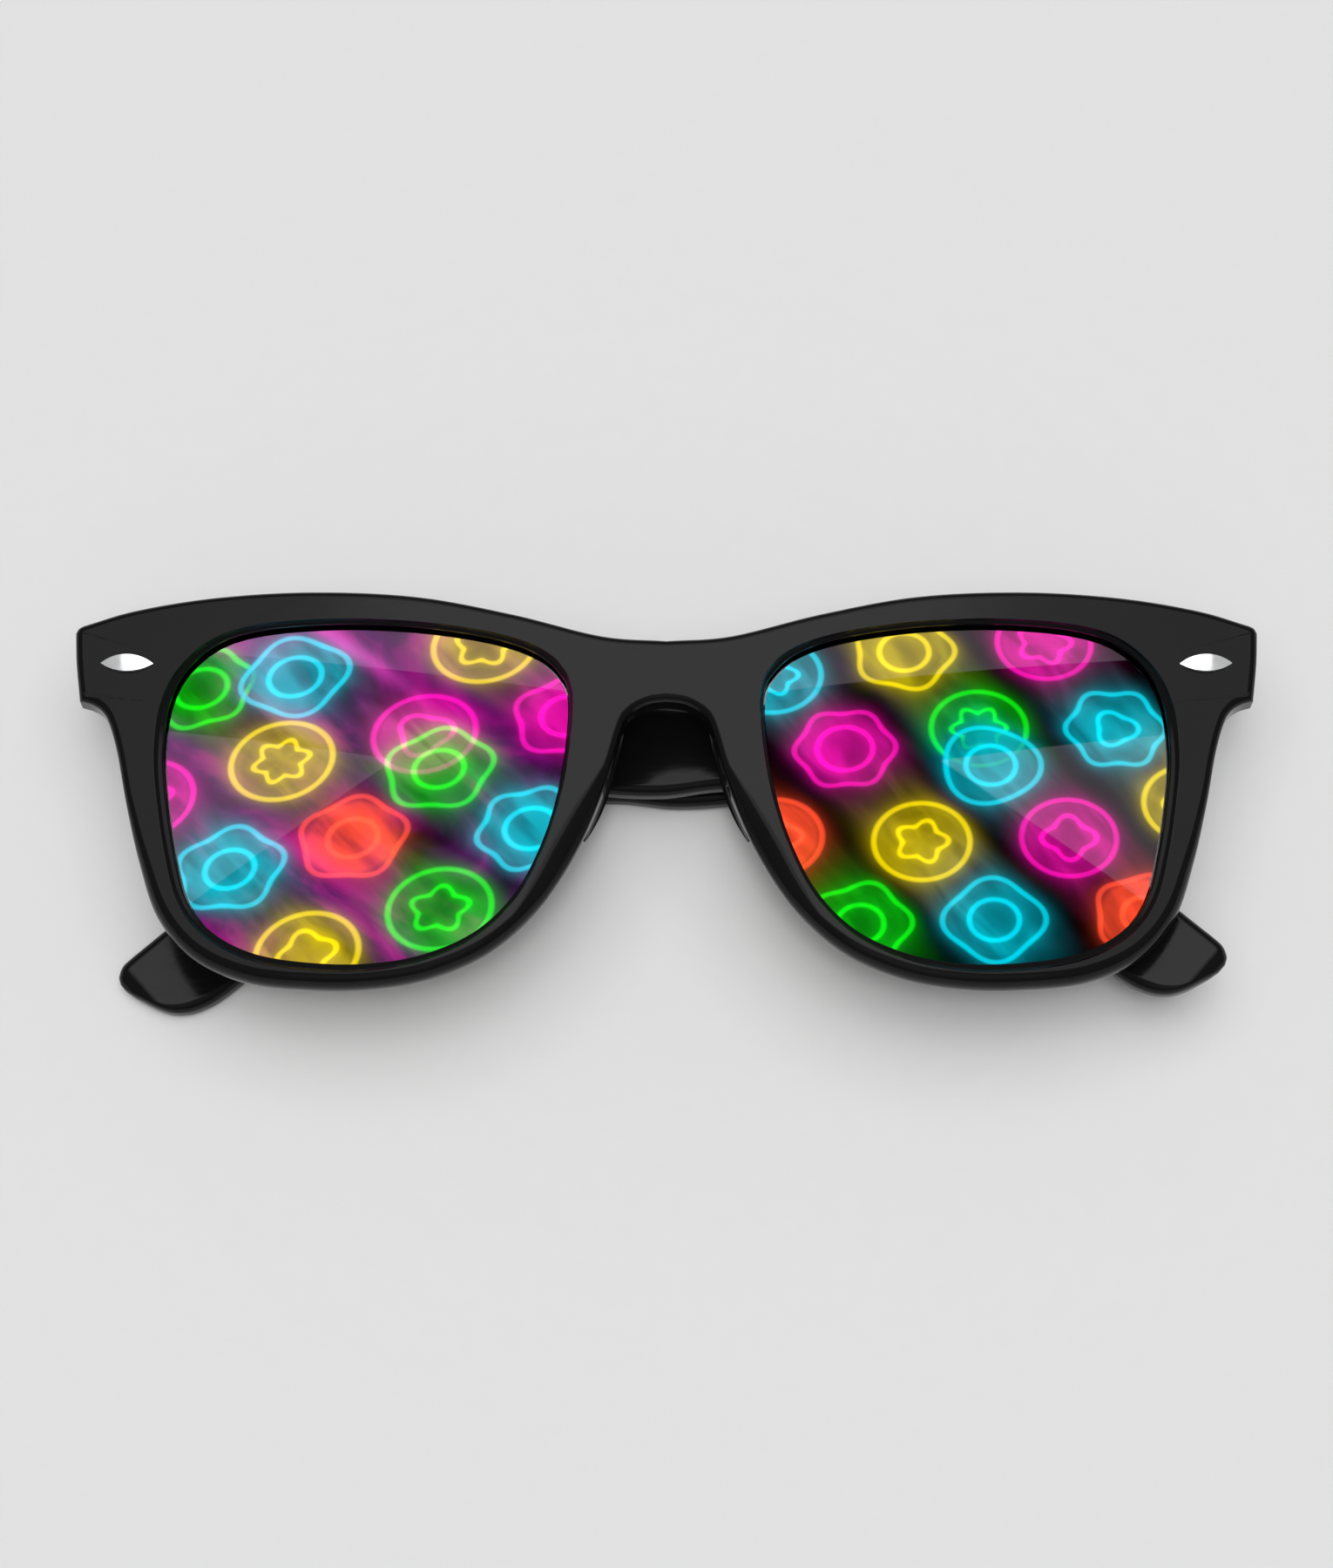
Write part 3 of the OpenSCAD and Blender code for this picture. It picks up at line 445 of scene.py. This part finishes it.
# The glasses lie on the outer temple: how high that holds the hinge pins, measured on a coarser run of places
outer_fold = math.radians(FOLD_OUTER)
COARSE_STEPS = 3
pin_z = max(w*math.cos(outer_fold) + s*math.sin(outer_fold)
            for place in smooth_run(TEMPLE_PLACES, COARSE_STEPS) for s, _, w in temple_ring(*place))


# Materials
def linear(code):
    """An sRGB hex colour as linear RGBA."""
    channels = [int(code[i:i + 2], 16)/255 for i in (1, 3, 5)]
    return tuple(c/12.92 if c <= 0.04045 else ((c + 0.055)/1.055)**2.4 for c in channels) + (1.0,)


def add(tree, kind, inputs=None, **settings):
    """Adds a node with its settings; an input is a value, a socket, or a node whose first output is used."""
    node = tree.nodes.new(kind)
    for key, value in settings.items():
        setattr(node, key, value)
    for key, value in (inputs or {}).items():
        if isinstance(value, bpy.types.Node):
            value = value.outputs[0]
        if isinstance(value, bpy.types.NodeSocket):
            tree.links.new(value, node.inputs[key])
        else:
            node.inputs[key].default_value = value
    return node


MATH, VECTOR, NOISE, RAMP = "ShaderNodeMath", "ShaderNodeVectorMath", "ShaderNodeTexNoise", "ShaderNodeMapRange"


def new_material(name):
    """An empty node material with its output, and the object's coordinates in millimetres."""
    material = bpy.data.materials.new(name)
    material.use_nodes = True
    tree = material.node_tree
    tree.nodes.clear()
    place = add(tree, "ShaderNodeTexCoord")
    in_mm = add(tree, VECTOR, {0: place.outputs["Object"], 1: (1/MM, 1/MM, 1/MM)}, operation="MULTIPLY")
    output = add(tree, "ShaderNodeOutputMaterial")
    return material, tree, in_mm, output


def polished_black_acetate():
    """Cellulose acetate, cut and tumbled: a deep black body under a wet-looking polish that waves very slightly."""
    material, tree, in_mm, output = new_material("polished_black_acetate")
    # Tumbling leaves a waviness some 9 mm long, drawn with a height of a few hundredths of a millimetre
    waves = add(tree, NOISE, {"Vector": in_mm, "Scale": 1/9, "Detail": 1.0, "Roughness": 0.4})
    # Hairlines from handling, some 0.25 mm apart and drawn out along the front
    along = add(tree, "ShaderNodeMapping", {"Vector": in_mm, "Scale": (0.35, 4.0, 4.0)})
    hairlines = add(tree, NOISE, {"Vector": along, "Scale": 1.0, "Detail": 3.0})
    gloss = add(tree, RAMP, {"Value": hairlines, "From Min": 0.4, "From Max": 0.75, "To Min": 0.1, "To Max": 0.2})
    tone = add(tree, "ShaderNodeMix", {"Factor": waves.outputs[0], "A": linear("#0d0d0e"), "B": linear("#111112")},
               data_type="RGBA")
    bump = add(tree, "ShaderNodeBump", {"Height": waves.outputs[0], "Strength": 0.05, "Distance": 0.0004})
    # Acetate's IOR is near 1.48. Under these lamps 1.25 gives the sheen that the photograph shows.
    skin = add(tree, "ShaderNodeBsdfPrincipled", {
        "Base Color": tone.outputs["Result"], "Roughness": gloss, "IOR": 1.25, "Normal": bump})
    tree.links.new(skin.outputs[0], output.inputs["Surface"])
    return material


def clear_window():
    """Cast acrylic, polished on both faces: clear, with the sheen of a hard coat."""
    material, tree, in_mm, output = new_material("clear_acrylic_window")
    # A trace of haze, in patches some 7 mm wide
    haze = add(tree, NOISE, {"Vector": in_mm, "Scale": 1/7, "Detail": 2.0})
    gloss = add(tree, RAMP, {"Value": haze, "To Min": 0.0, "To Max": 0.01})
    # Acrylic's IOR is 1.49. At 1.04 it mirrors next to nothing, and the pale reflections are painted on the film.
    skin = add(tree, "ShaderNodeBsdfPrincipled", {
        "Base Color": linear("#f8f7fa"), "Roughness": gloss, "IOR": 1.04, "Transmission Weight": 1.0})
    tree.links.new(skin.outputs[0], output.inputs["Surface"])
    return material


def steel(name, colour, rough_low, rough_high, grain_mm, stretch, metallic=1.0):
    """Nickel-plated steel; the grain's length along the piece follows how it was finished."""
    material, tree, in_mm, output = new_material(name)
    along = add(tree, "ShaderNodeMapping", {"Vector": in_mm, "Scale": stretch})
    grain = add(tree, NOISE, {"Vector": along, "Scale": 1/grain_mm, "Detail": 3.0})
    gloss = add(tree, RAMP, {
        "Value": grain, "From Min": 0.3, "From Max": 0.7, "To Min": rough_low, "To Max": rough_high})
    bump = add(tree, "ShaderNodeBump", {"Height": grain, "Strength": 0.08, "Distance": 0.00003})
    skin = add(tree, "ShaderNodeBsdfPrincipled", {
        "Base Color": linear(colour), "Metallic": metallic, "Roughness": gloss, "Normal": bump})
    tree.links.new(skin.outputs[0], output.inputs["Surface"])
    return material


# Shares of a figure's radius, which is some 6 mm: where a tube's core is full and where it ends, so some 0.7 mm across,
# and how fast its glow fades, within some 1.5 mm; and how strong core, glow and trail are
CORE_FULL, CORE_END, GLOW_FADE = 0.03, 0.09, 8.0
CORE_LIGHT, GLOW_LIGHT, TRAIL_LIGHT = 0.56, 0.27, 0.24
# The inner tube's wave, and the ways across and along the trail, which is as wide as the figure
INNER_WAVE, TRAIL_ACROSS, TRAIL_ALONG = 0.16, (0.72, 0.52, 0), (0.62, -0.53, 0)
# How much a figure's trail and its inside leave of what lies under them
UNDER_TRAIL, UNDER_SIGN = 0.12, 0.45


def neon_sign():
    """A bent-tube figure of unit radius: two waved tubes, their glow, a tinted inside and a slanting trail of haze."""
    group = bpy.data.node_groups.new("neon_sign", "ShaderNodeTree")
    for name, kind in (("Place", "Vector"), ("Colour", "Color"), ("Petals", "Float"), ("Wave", "Float"),
                       ("Inner", "Float"), ("Inner Petals", "Float"), ("Fill", "Float"), ("Smoke", "Float"),
                       ("Haze", "Vector"), ("Signs", "Vector")):
        group.interface.new_socket(name, in_out="INPUT", socket_type="NodeSocket" + kind)
    for name in ("Haze", "Signs"):
        group.interface.new_socket(name, in_out="OUTPUT", socket_type="NodeSocketVector")
    given = add(group, "NodeGroupInput").outputs
    axes = add(group, "ShaderNodeSeparateXYZ", {0: given["Place"]}).outputs
    angle = add(group, MATH, {0: axes[1], 1: axes[0]}, operation="ARCTAN2")
    radius = add(group, VECTOR, {0: given["Place"]}, operation="LENGTH").outputs["Value"]
    tubes = []
    for petals, wave, size in ((given["Petals"], given["Wave"], 1.0),
                               (given["Inner Petals"], INNER_WAVE, given["Inner"])):
        turn = add(group, MATH, {0: angle, 1: petals}, operation="MULTIPLY")
        waved = add(group, MATH, {0: add(group, MATH, {0: turn}, operation="COSINE"), 1: wave, 2: 1.0},
                    operation="MULTIPLY_ADD")
        edge = add(group, MATH, {0: waved, 1: size}, operation="MULTIPLY")
        apart = add(group, MATH, {0: add(group, MATH, {0: radius, 1: edge}, operation="SUBTRACT")},
                    operation="ABSOLUTE")
        core = add(group, RAMP, {"Value": apart, "From Min": CORE_END, "From Max": CORE_FULL, "To Max": CORE_LIGHT},
                   interpolation_type="SMOOTHSTEP")
        glow = add(group, MATH, {0: add(group, MATH, {0: apart, 1: -GLOW_FADE}, operation="MULTIPLY")},
                   operation="EXPONENT")
        tubes.append(add(group, MATH, {0: glow, 1: GLOW_LIGHT, 2: core}, operation="MULTIPLY_ADD"))
    lines = add(group, MATH, {0: tubes[0], 1: tubes[1]}, operation="MAXIMUM")
    inside = add(group, RAMP, {"Value": radius, "From Min": 1.08, "From Max": 0.8}, interpolation_type="SMOOTHSTEP")
    filling = add(group, MATH, {0: add(group, MATH, {0: inside, 1: given["Fill"]}, operation="MULTIPLY"),
                                1: given["Smoke"], 2: lines}, operation="MULTIPLY_ADD")
    sign = add(group, VECTOR, {0: given["Colour"], "Scale": filling.outputs[0]}, operation="SCALE")
    # The trail runs along the film's slanting streaks and fades both ways
    across = add(group, VECTOR, {0: given["Place"], 1: TRAIL_ACROSS}, operation="DOT_PRODUCT").outputs["Value"]
    along = add(group, VECTOR, {0: given["Place"], 1: TRAIL_ALONG}, operation="DOT_PRODUCT").outputs["Value"]
    beside = add(group, RAMP, {"Value": add(group, MATH, {0: across}, operation="ABSOLUTE"), "From Min": 1.15,
                               "From Max": 0.3}, interpolation_type="SMOOTHSTEP")
    far = add(group, MATH, {0: add(group, MATH, {0: along, 1: along}, operation="MULTIPLY"), 1: -1.0},
              operation="MULTIPLY")
    trail = add(group, MATH, {0: add(group, MATH, {0: far}, operation="EXPONENT"), 1: beside}, operation="MULTIPLY")
    smoky = add(group, MATH, {0: add(group, MATH, {0: trail, 1: given["Smoke"]}, operation="MULTIPLY"),
                              1: TRAIL_LIGHT}, operation="MULTIPLY")
    haze = add(group, VECTOR, {0: given["Colour"], "Scale": smoky.outputs[0]}, operation="SCALE")
    # Each layer hides part of what lies under it, so the colours don't mix to grey
    layers = []
    for under, cover, left, top, mixing in ((given["Haze"], trail, UNDER_TRAIL, haze, "ADD"),
                                            (given["Signs"], inside, UNDER_SIGN, sign, "MAXIMUM")):
        share = add(group, RAMP, {"Value": cover, "To Min": 1.0, "To Max": left})
        seen = add(group, VECTOR, {0: under, "Scale": share.outputs[0]}, operation="SCALE")
        layers.append(add(group, VECTOR, {0: seen, 1: top}, operation=mixing))
    add(group, "NodeGroupOutput", {"Haze": layers[0], "Signs": layers[1]})
    return group


CYAN, MAGENTA, YELLOW, GREEN, ORANGE = "#00dcf0", "#ff10b4", "#ffe400", "#0cf414", "#ff4e2c"
# The streaks' slant, and the figures' size in mm, height against width and tilt
STREAK_TURN = {"left": math.radians(-44), "right": math.radians(-50)}
FIGURE_SIZE = {"left": (6.4, 0.76, math.radians(13)), "right": (5.9, 0.82, math.radians(3))}
# Figures on each film, in bands along the streaks: place across the bands and along them in mm from the window's
# middle, colour, petals, wave, inner size and inner petals
FIGURES = {
    "right": [
        (-22, -11, ORANGE, 0, 0, 0.5, 4), (-21, 4, GREEN, 5, 0.08, 0.42, 0),
        (-8.5, -27, CYAN, 0, 0, 0.45, 5), (-8, -14, MAGENTA, 6, 0.06, 0.5, 0),
        (-8.5, 1, YELLOW, 0, 0, 0.48, 5), (-8, 14, CYAN, 4, 0.08, 0.45, 0),
        (6, -19, YELLOW, 5, 0.07, 0.45, 0), (6.5, -5.5, GREEN, 0, 0, 0.5, 6),
        (4.5, -1, CYAN, 3, 0.06, 0.45, 0), (6, 12, MAGENTA, 0, 0, 0.5, 4), (7, 25, ORANGE, 5, 0.07, 0.4, 0),
        (20.5, -9, MAGENTA, 0, 0, 0.5, 5), (20, 5, CYAN, 6, 0.07, 0.42, 3), (21, 18, YELLOW, 0, 0, 0.5, 4),
    ],
    "left": [
        (-19, -20, MAGENTA, 0, 0, 0.5, 5), (-18, -5.5, CYAN, 5, 0.08, 0.42, 0), (-19, 9, YELLOW, 0, 0, 0.5, 4),
        (-4, -25, GREEN, 6, 0.06, 0.45, 0), (-4, -10.5, YELLOW, 0, 0, 0.48, 6), (-5, 3, ORANGE, 5, 0.07, 0.42, 0),
        (-4, 17, GREEN, 0, 0, 0.5, 5), (4.9, -17.2, CYAN, 4, 0.08, 0.45, 0), (10.5, 0, MAGENTA, 0, 0, 0.5, 3),
        (8.5, 4.5, GREEN, 5, 0.07, 0.42, 0), (11, 18, CYAN, 6, 0.07, 0.45, 0), (24, -3, YELLOW, 0, 0, 0.5, 5),
        (24.5, 11, MAGENTA, 5, 0.08, 0.45, 0),
    ],
}
# How strongly the inside of a figure of each colour is lit
FILLS = {CYAN: 0.22, MAGENTA: 0.34, YELLOW: 0.17, GREEN: 0.14, ORANGE: 0.7}
# The film's ground between the figures: stops of a ramp over slanting clouds
GROUNDS = {
    "right": [(0.5, "#000000"), (0.62, "#12041a"), (0.75, "#2c0a34")],
    "left": [(0.34, "#12031a"), (0.48, "#560a5c"), (0.62, "#b4148e")],
}
# Painted reflections: pale bands for what the windows mirror, as half planes given by normal x, y and distance from
# the window's middle in mm
SHEENS = {
    "right": [[(-0.116, 0.993, 15.7)], [(0.155, -0.988, -4.7), (0.566, 0.825, 1.4)]],
    "left": [[(0.132, 0.991, 16.3)], [(-0.165, -0.986, -4.9), (-0.573, 0.819, 1.3)]],
}
# What such a band adds, as linear RGB, and how wide its soft edge is in mm
SHEEN, SHEEN_EDGE = (0.05, 0.043, 0.05), 0.15
# A soft pink beam on the left film: where it starts and ends in mm from the window's middle, and its half width
BEAM_FROM, BEAM_TO, BEAM_HALF_W, PINK = (-5.7, 21.7), (7.7, 11.8), 1.1, "#e250bc"


def streak_noise(tree, here, side, size, detail, roughness):
    """Noise in patches of so many mm along and across the film's streaks."""
    slant = add(tree, "ShaderNodeMapping", {
        "Vector": here, "Rotation": (0, 0, STREAK_TURN[side]), "Scale": (*size, 1)}, vector_type="TEXTURE")
    return add(tree, NOISE, {"Vector": slant, "Scale": 1.0, "Detail": detail, "Roughness": roughness,
                             "Distortion": 0.8})


def lay_figures(tree, group, side, here, smoke, ground):
    """Lays a film's figures over its ground, each over those before it; gives the haze and the signs."""
    haze, signs = ground, (0.0, 0.0, 0.0)
    size, height, tilt = FIGURE_SIZE[side]
    turn = STREAK_TURN[side]
    for band, along, colour, petals, wave, inner, inner_petals in FIGURES[side]:
        x = along*math.cos(turn) - band*math.sin(turn)
        y = along*math.sin(turn) + band*math.cos(turn)
        place = add(tree, "ShaderNodeMapping", {
            "Vector": here, "Location": (x, y, 0), "Rotation": (0, 0, tilt), "Scale": (size, height*size, 1)},
            vector_type="TEXTURE")
        figure = add(tree, "ShaderNodeGroup", {
            "Place": place, "Colour": linear(colour), "Petals": petals, "Wave": wave, "Inner": inner,
            "Inner Petals": inner_petals, "Fill": FILLS[colour], "Smoke": smoke, "Haze": haze, "Signs": signs},
            node_tree=group)
        haze, signs = figure.outputs["Haze"], figure.outputs["Signs"]
    return haze, signs


def sheen_band(tree, here, planes):
    """A painted reflection: a pale band that fills the space beyond all of the half planes."""
    mask = None
    for nx, ny, distance in planes:
        beyond = add(tree, VECTOR, {0: here, 1: (nx, ny, 0)}, operation="DOT_PRODUCT").outputs["Value"]
        edge = add(tree, RAMP, {"Value": beyond, "From Min": distance, "From Max": distance + SHEEN_EDGE})
        mask = add(tree, MATH, {0: mask, 1: edge}, operation="MULTIPLY") if mask else edge
    return add(tree, VECTOR, {0: SHEEN, "Scale": mask.outputs[0]}, operation="SCALE")


def pink_beam(tree, here):
    """The beam: strongest where it starts, and fading along its way and to both sides."""
    length = math.dist(BEAM_FROM, BEAM_TO)
    lean = math.atan2(BEAM_TO[1] - BEAM_FROM[1], BEAM_TO[0] - BEAM_FROM[0])
    on_beam = add(tree, "ShaderNodeMapping", {
        "Vector": here, "Location": (*BEAM_FROM, 0), "Rotation": (0, 0, lean), "Scale": (length, BEAM_HALF_W, 1)},
        vector_type="TEXTURE")
    axes = add(tree, "ShaderNodeSeparateXYZ", {0: on_beam}).outputs
    fades = add(tree, RAMP, {"Value": axes[0], "From Min": 0.2, "From Max": 1.0, "To Min": 0.75, "To Max": 0.0})
    off = add(tree, MATH, {0: add(tree, MATH, {0: axes[1], 1: axes[1]}, operation="MULTIPLY"), 1: -1.0},
              operation="MULTIPLY")
    glare = add(tree, MATH, {0: add(tree, MATH, {0: off}, operation="EXPONENT"), 1: fades}, operation="MULTIPLY")
    return add(tree, VECTOR, {0: linear(PINK)[:3], "Scale": glare.outputs[0]}, operation="SCALE")


def diffraction_film(side, group):
    """Embossed polyester film: near black, with neon figures and their slanting streaks, where light breaks on it,
    painted on as glow.
    """
    material, tree, in_mm, output = new_material("diffraction_film_" + side)
    sign = 1 if side == "right" else -1
    middle = (sign*LENS_C[0], LENS_C[1] + level_y, 0)
    flat = add(tree, VECTOR, {0: in_mm, 1: (1, 1, 0)}, operation="MULTIPLY")
    here = add(tree, VECTOR, {0: flat, 1: middle}, operation="SUBTRACT")
    # Streaks some 14 mm long and 4 mm wide, slanting down to the right, over clouds of 22 by 11 mm
    streaks = streak_noise(tree, here, side, (14, 4), 2.0, 0.45)
    smoke = add(tree, RAMP, {"Value": streaks, "From Min": 0.3, "From Max": 0.7, "To Min": 0.55, "To Max": 1.35},
                interpolation_type="SMOOTHSTEP")
    clouds = streak_noise(tree, here, side, (22, 11), 4.0, 0.55)
    ground = add(tree, "ShaderNodeValToRGB", {0: clouds})
    stops = ground.color_ramp.elements
    while len(stops) < len(GROUNDS[side]):
        stops.new(0.5)
    for stop, (position, colour) in zip(stops, GROUNDS[side]):
        stop.position, stop.color = position, linear(colour)
    haze, signs = lay_figures(tree, group, side, here, smoke, ground.outputs[0])
    total = add(tree, VECTOR, {0: haze, 1: signs}, operation="ADD")
    lights = [sheen_band(tree, here, planes) for planes in SHEENS[side]]
    if side == "left":
        lights.append(pink_beam(tree, here))
    for light in lights:
        total = add(tree, VECTOR, {0: total, 1: light}, operation="ADD")
    # The broken light is painted as emission, so the film glows whatever light falls on it. It goes out to the front,
    # and the wearer sees the film from behind as a dim tint.
    facing = add(tree, "ShaderNodeSeparateXYZ", {0: add(tree, "ShaderNodeTexCoord").outputs["Normal"]}).outputs[2]
    outwards = add(tree, RAMP, {"Value": facing, "From Min": 0.0, "From Max": 0.3, "To Min": 0.1})
    shown = add(tree, VECTOR, {0: total, "Scale": outwards.outputs[0]}, operation="SCALE")
    skin = add(tree, "ShaderNodeBsdfPrincipled", {
        "Base Color": linear("#0a070c"), "Roughness": 0.35, "IOR": 1.5, "Specular IOR Level": 0.01,
        "Emission Color": shown, "Emission Strength": 1.0})
    tree.links.new(skin.outputs[0], output.inputs["Surface"])
    return material


black = polished_black_acetate()
window = clear_window()
# The plaques are part matt: in the photograph they are paler than the dim dome that they would mirror
plaque_steel = steel("polished_nickel_steel", "#f2f3f4", 0.1, 0.2, 1.5, (1, 1, 1), 0.6)
hinge_steel = steel("tumbled_hinge_steel", "#a9acb0", 0.24, 0.36, 0.25, (1, 0.2, 1))
screw_steel = steel("turned_screw_steel", "#c2c4c7", 0.14, 0.26, 0.2, (1, 6, 1))
sign_group = neon_sign()
films = {side: diffraction_film(side, sign_group) for side in ("left", "right")}


def dress(piece, material, body, slot, *nodes):
    """Gives a new piece its finish, its body and the solids it stands for."""
    piece.data.materials.append(material)
    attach(piece, body)
    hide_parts(*nodes)


dress(mesh_piece("front_polished", *front_mesh()), black, "front", "black_plastic", "front_frame")
for side, sign, fold_by in (("left", -1, FOLD_INNER), ("right", 1, FOLD_OUTER)):
    dress(mesh_piece("nose_pad_rounded_" + side, *loft(pad_rings(sign))), black, "front", "black_plastic",
          "nose_pad_" + side)
    dress(mesh_piece("temple_polished_" + side, *loft(temple_rings(sign, fold_by))), black,
          "temple_" + side + "_body", "black_plastic", "temple_" + side)
    for node, material in (("lens", window), ("diffraction_film", films[side]), ("rivet_plaque", plaque_steel),
                           ("front_hinge_leaf", hinge_steel), ("temple_hinge_leaf", hinge_steel),
                           ("hinge_screw", screw_steel), ("temple_rivet_front", screw_steel),
                           ("temple_rivet_rear", screw_steel)):
        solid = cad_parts[node + "_" + side]
        for place in solid.material_slots:
            place.material = material

# The floor: pale matt card, 6 m across, with fibres some 3 mm long
FLOOR_HALF = 3.0
floor_mesh = bpy.data.meshes.new("floor")
floor_mesh.from_pydata([(x*FLOOR_HALF, y*FLOOR_HALF, 0) for x, y in ((-1, -1), (1, -1), (1, 1), (-1, 1))], [],
                       [(0, 1, 2, 3)])
floor = bpy.data.objects.new("floor", floor_mesh)
bpy.context.scene.collection.objects.link(floor)
card, tree, in_mm, output = new_material("pale_card")
fibres = add(tree, NOISE, {"Vector": in_mm, "Scale": 1/3, "Detail": 2.0})
tone = add(tree, "ShaderNodeMix", {"Factor": fibres.outputs[0], "A": linear("#e0e0e0"), "B": linear("#e2e2e2")},
           data_type="RGBA")
skin = add(tree, "ShaderNodeBsdfPrincipled", {
    "Base Color": tone.outputs["Result"], "Roughness": 0.9, "Specular IOR Level": 0.0})
tree.links.new(skin.outputs[0], output.inputs["Surface"])
floor_mesh.materials.append(card)

# The studio: a dim dome with a pale strip at the horizon
world = bpy.data.worlds.new("studio")
bpy.context.scene.world = world
world.use_nodes = True
tree = world.node_tree
tree.nodes.clear()
sky_axes = add(tree, "ShaderNodeSeparateXYZ", {0: add(tree, "ShaderNodeTexCoord").outputs["Generated"]}).outputs
dome = add(tree, RAMP, {"Value": sky_axes[2], "From Min": 0.15, "From Max": 0.6, "To Min": 0.12, "To Max": 0.2},
           interpolation_type="SMOOTHSTEP")
strip = add(tree, RAMP, {"Value": sky_axes[2], "From Min": 0.16, "From Max": 0.08, "To Max": 0.6},
            interpolation_type="SMOOTHSTEP")
dome = add(tree, MATH, {0: dome, 1: strip}, operation="ADD")
add(tree, "ShaderNodeOutputWorld", {"Surface": add(tree, "ShaderNodeBackground", {"Color": dome})})

# Round lamps far away. The key, almost overhead, a wide soft box around it and the fill, nearer the viewer, light the
# card and the matt side of things, behind polarising screens that keep their glare off. The gloss lamps are what the
# black pieces mirror.
# Name, strength, degrees across, lean towards the viewer in degrees, and whether the lamp is one that they mirror
for name, energy, width, lean, mirrored in (
        ("key_lamp", 0.4, 20, -0.5, False), ("fill_lamp", 0.65, 12, 13.5, False), ("soft_lamp", 1.52, 60, -3, False),
        ("wide_gloss_lamp", 0.8, 52, -22, True), ("gloss_lamp", 0.19, 25, -16.7, True),
        ("low_gloss_lamp", 0.1, 40, 32, True)):
    lamp_data = bpy.data.lights.new(name, "SUN")
    lamp_data.energy, lamp_data.angle = energy, math.radians(width)
    lamp = bpy.data.objects.new(name, lamp_data)
    bpy.context.scene.collection.objects.link(lamp)
    lamp.rotation_euler = (math.radians(lean), 0, 0)
    lamp.visible_glossy, lamp.visible_diffuse, lamp.visible_transmission = mirrored, not mirrored, False

# The camera of the photograph: 16.7 degrees from straight above, with a long lens
CAMERA_TILT, CAMERA_AWAY, CAMERA_AIM = math.radians(16.7), 537.634, (0, -15.333, 6.5)
camera_data = bpy.data.cameras.new("camera")
camera_data.sensor_fit, camera_data.sensor_height, camera_data.lens = "VERTICAL", 36.0, 100.0
camera = bpy.data.objects.new("camera", camera_data)
bpy.context.scene.collection.objects.link(camera)
aim = to_floor(CAMERA_AIM)
camera.location = (aim[0], aim[1] - CAMERA_AWAY*MM*math.sin(CAMERA_TILT),
                   aim[2] + CAMERA_AWAY*MM*math.cos(CAMERA_TILT))
camera.rotation_euler = (CAMERA_TILT, 0, 0)
camera_data.clip_start, camera_data.clip_end = 0.01, 20.0
bpy.context.scene.camera = camera
bpy.context.scene.view_settings.view_transform = "Standard"
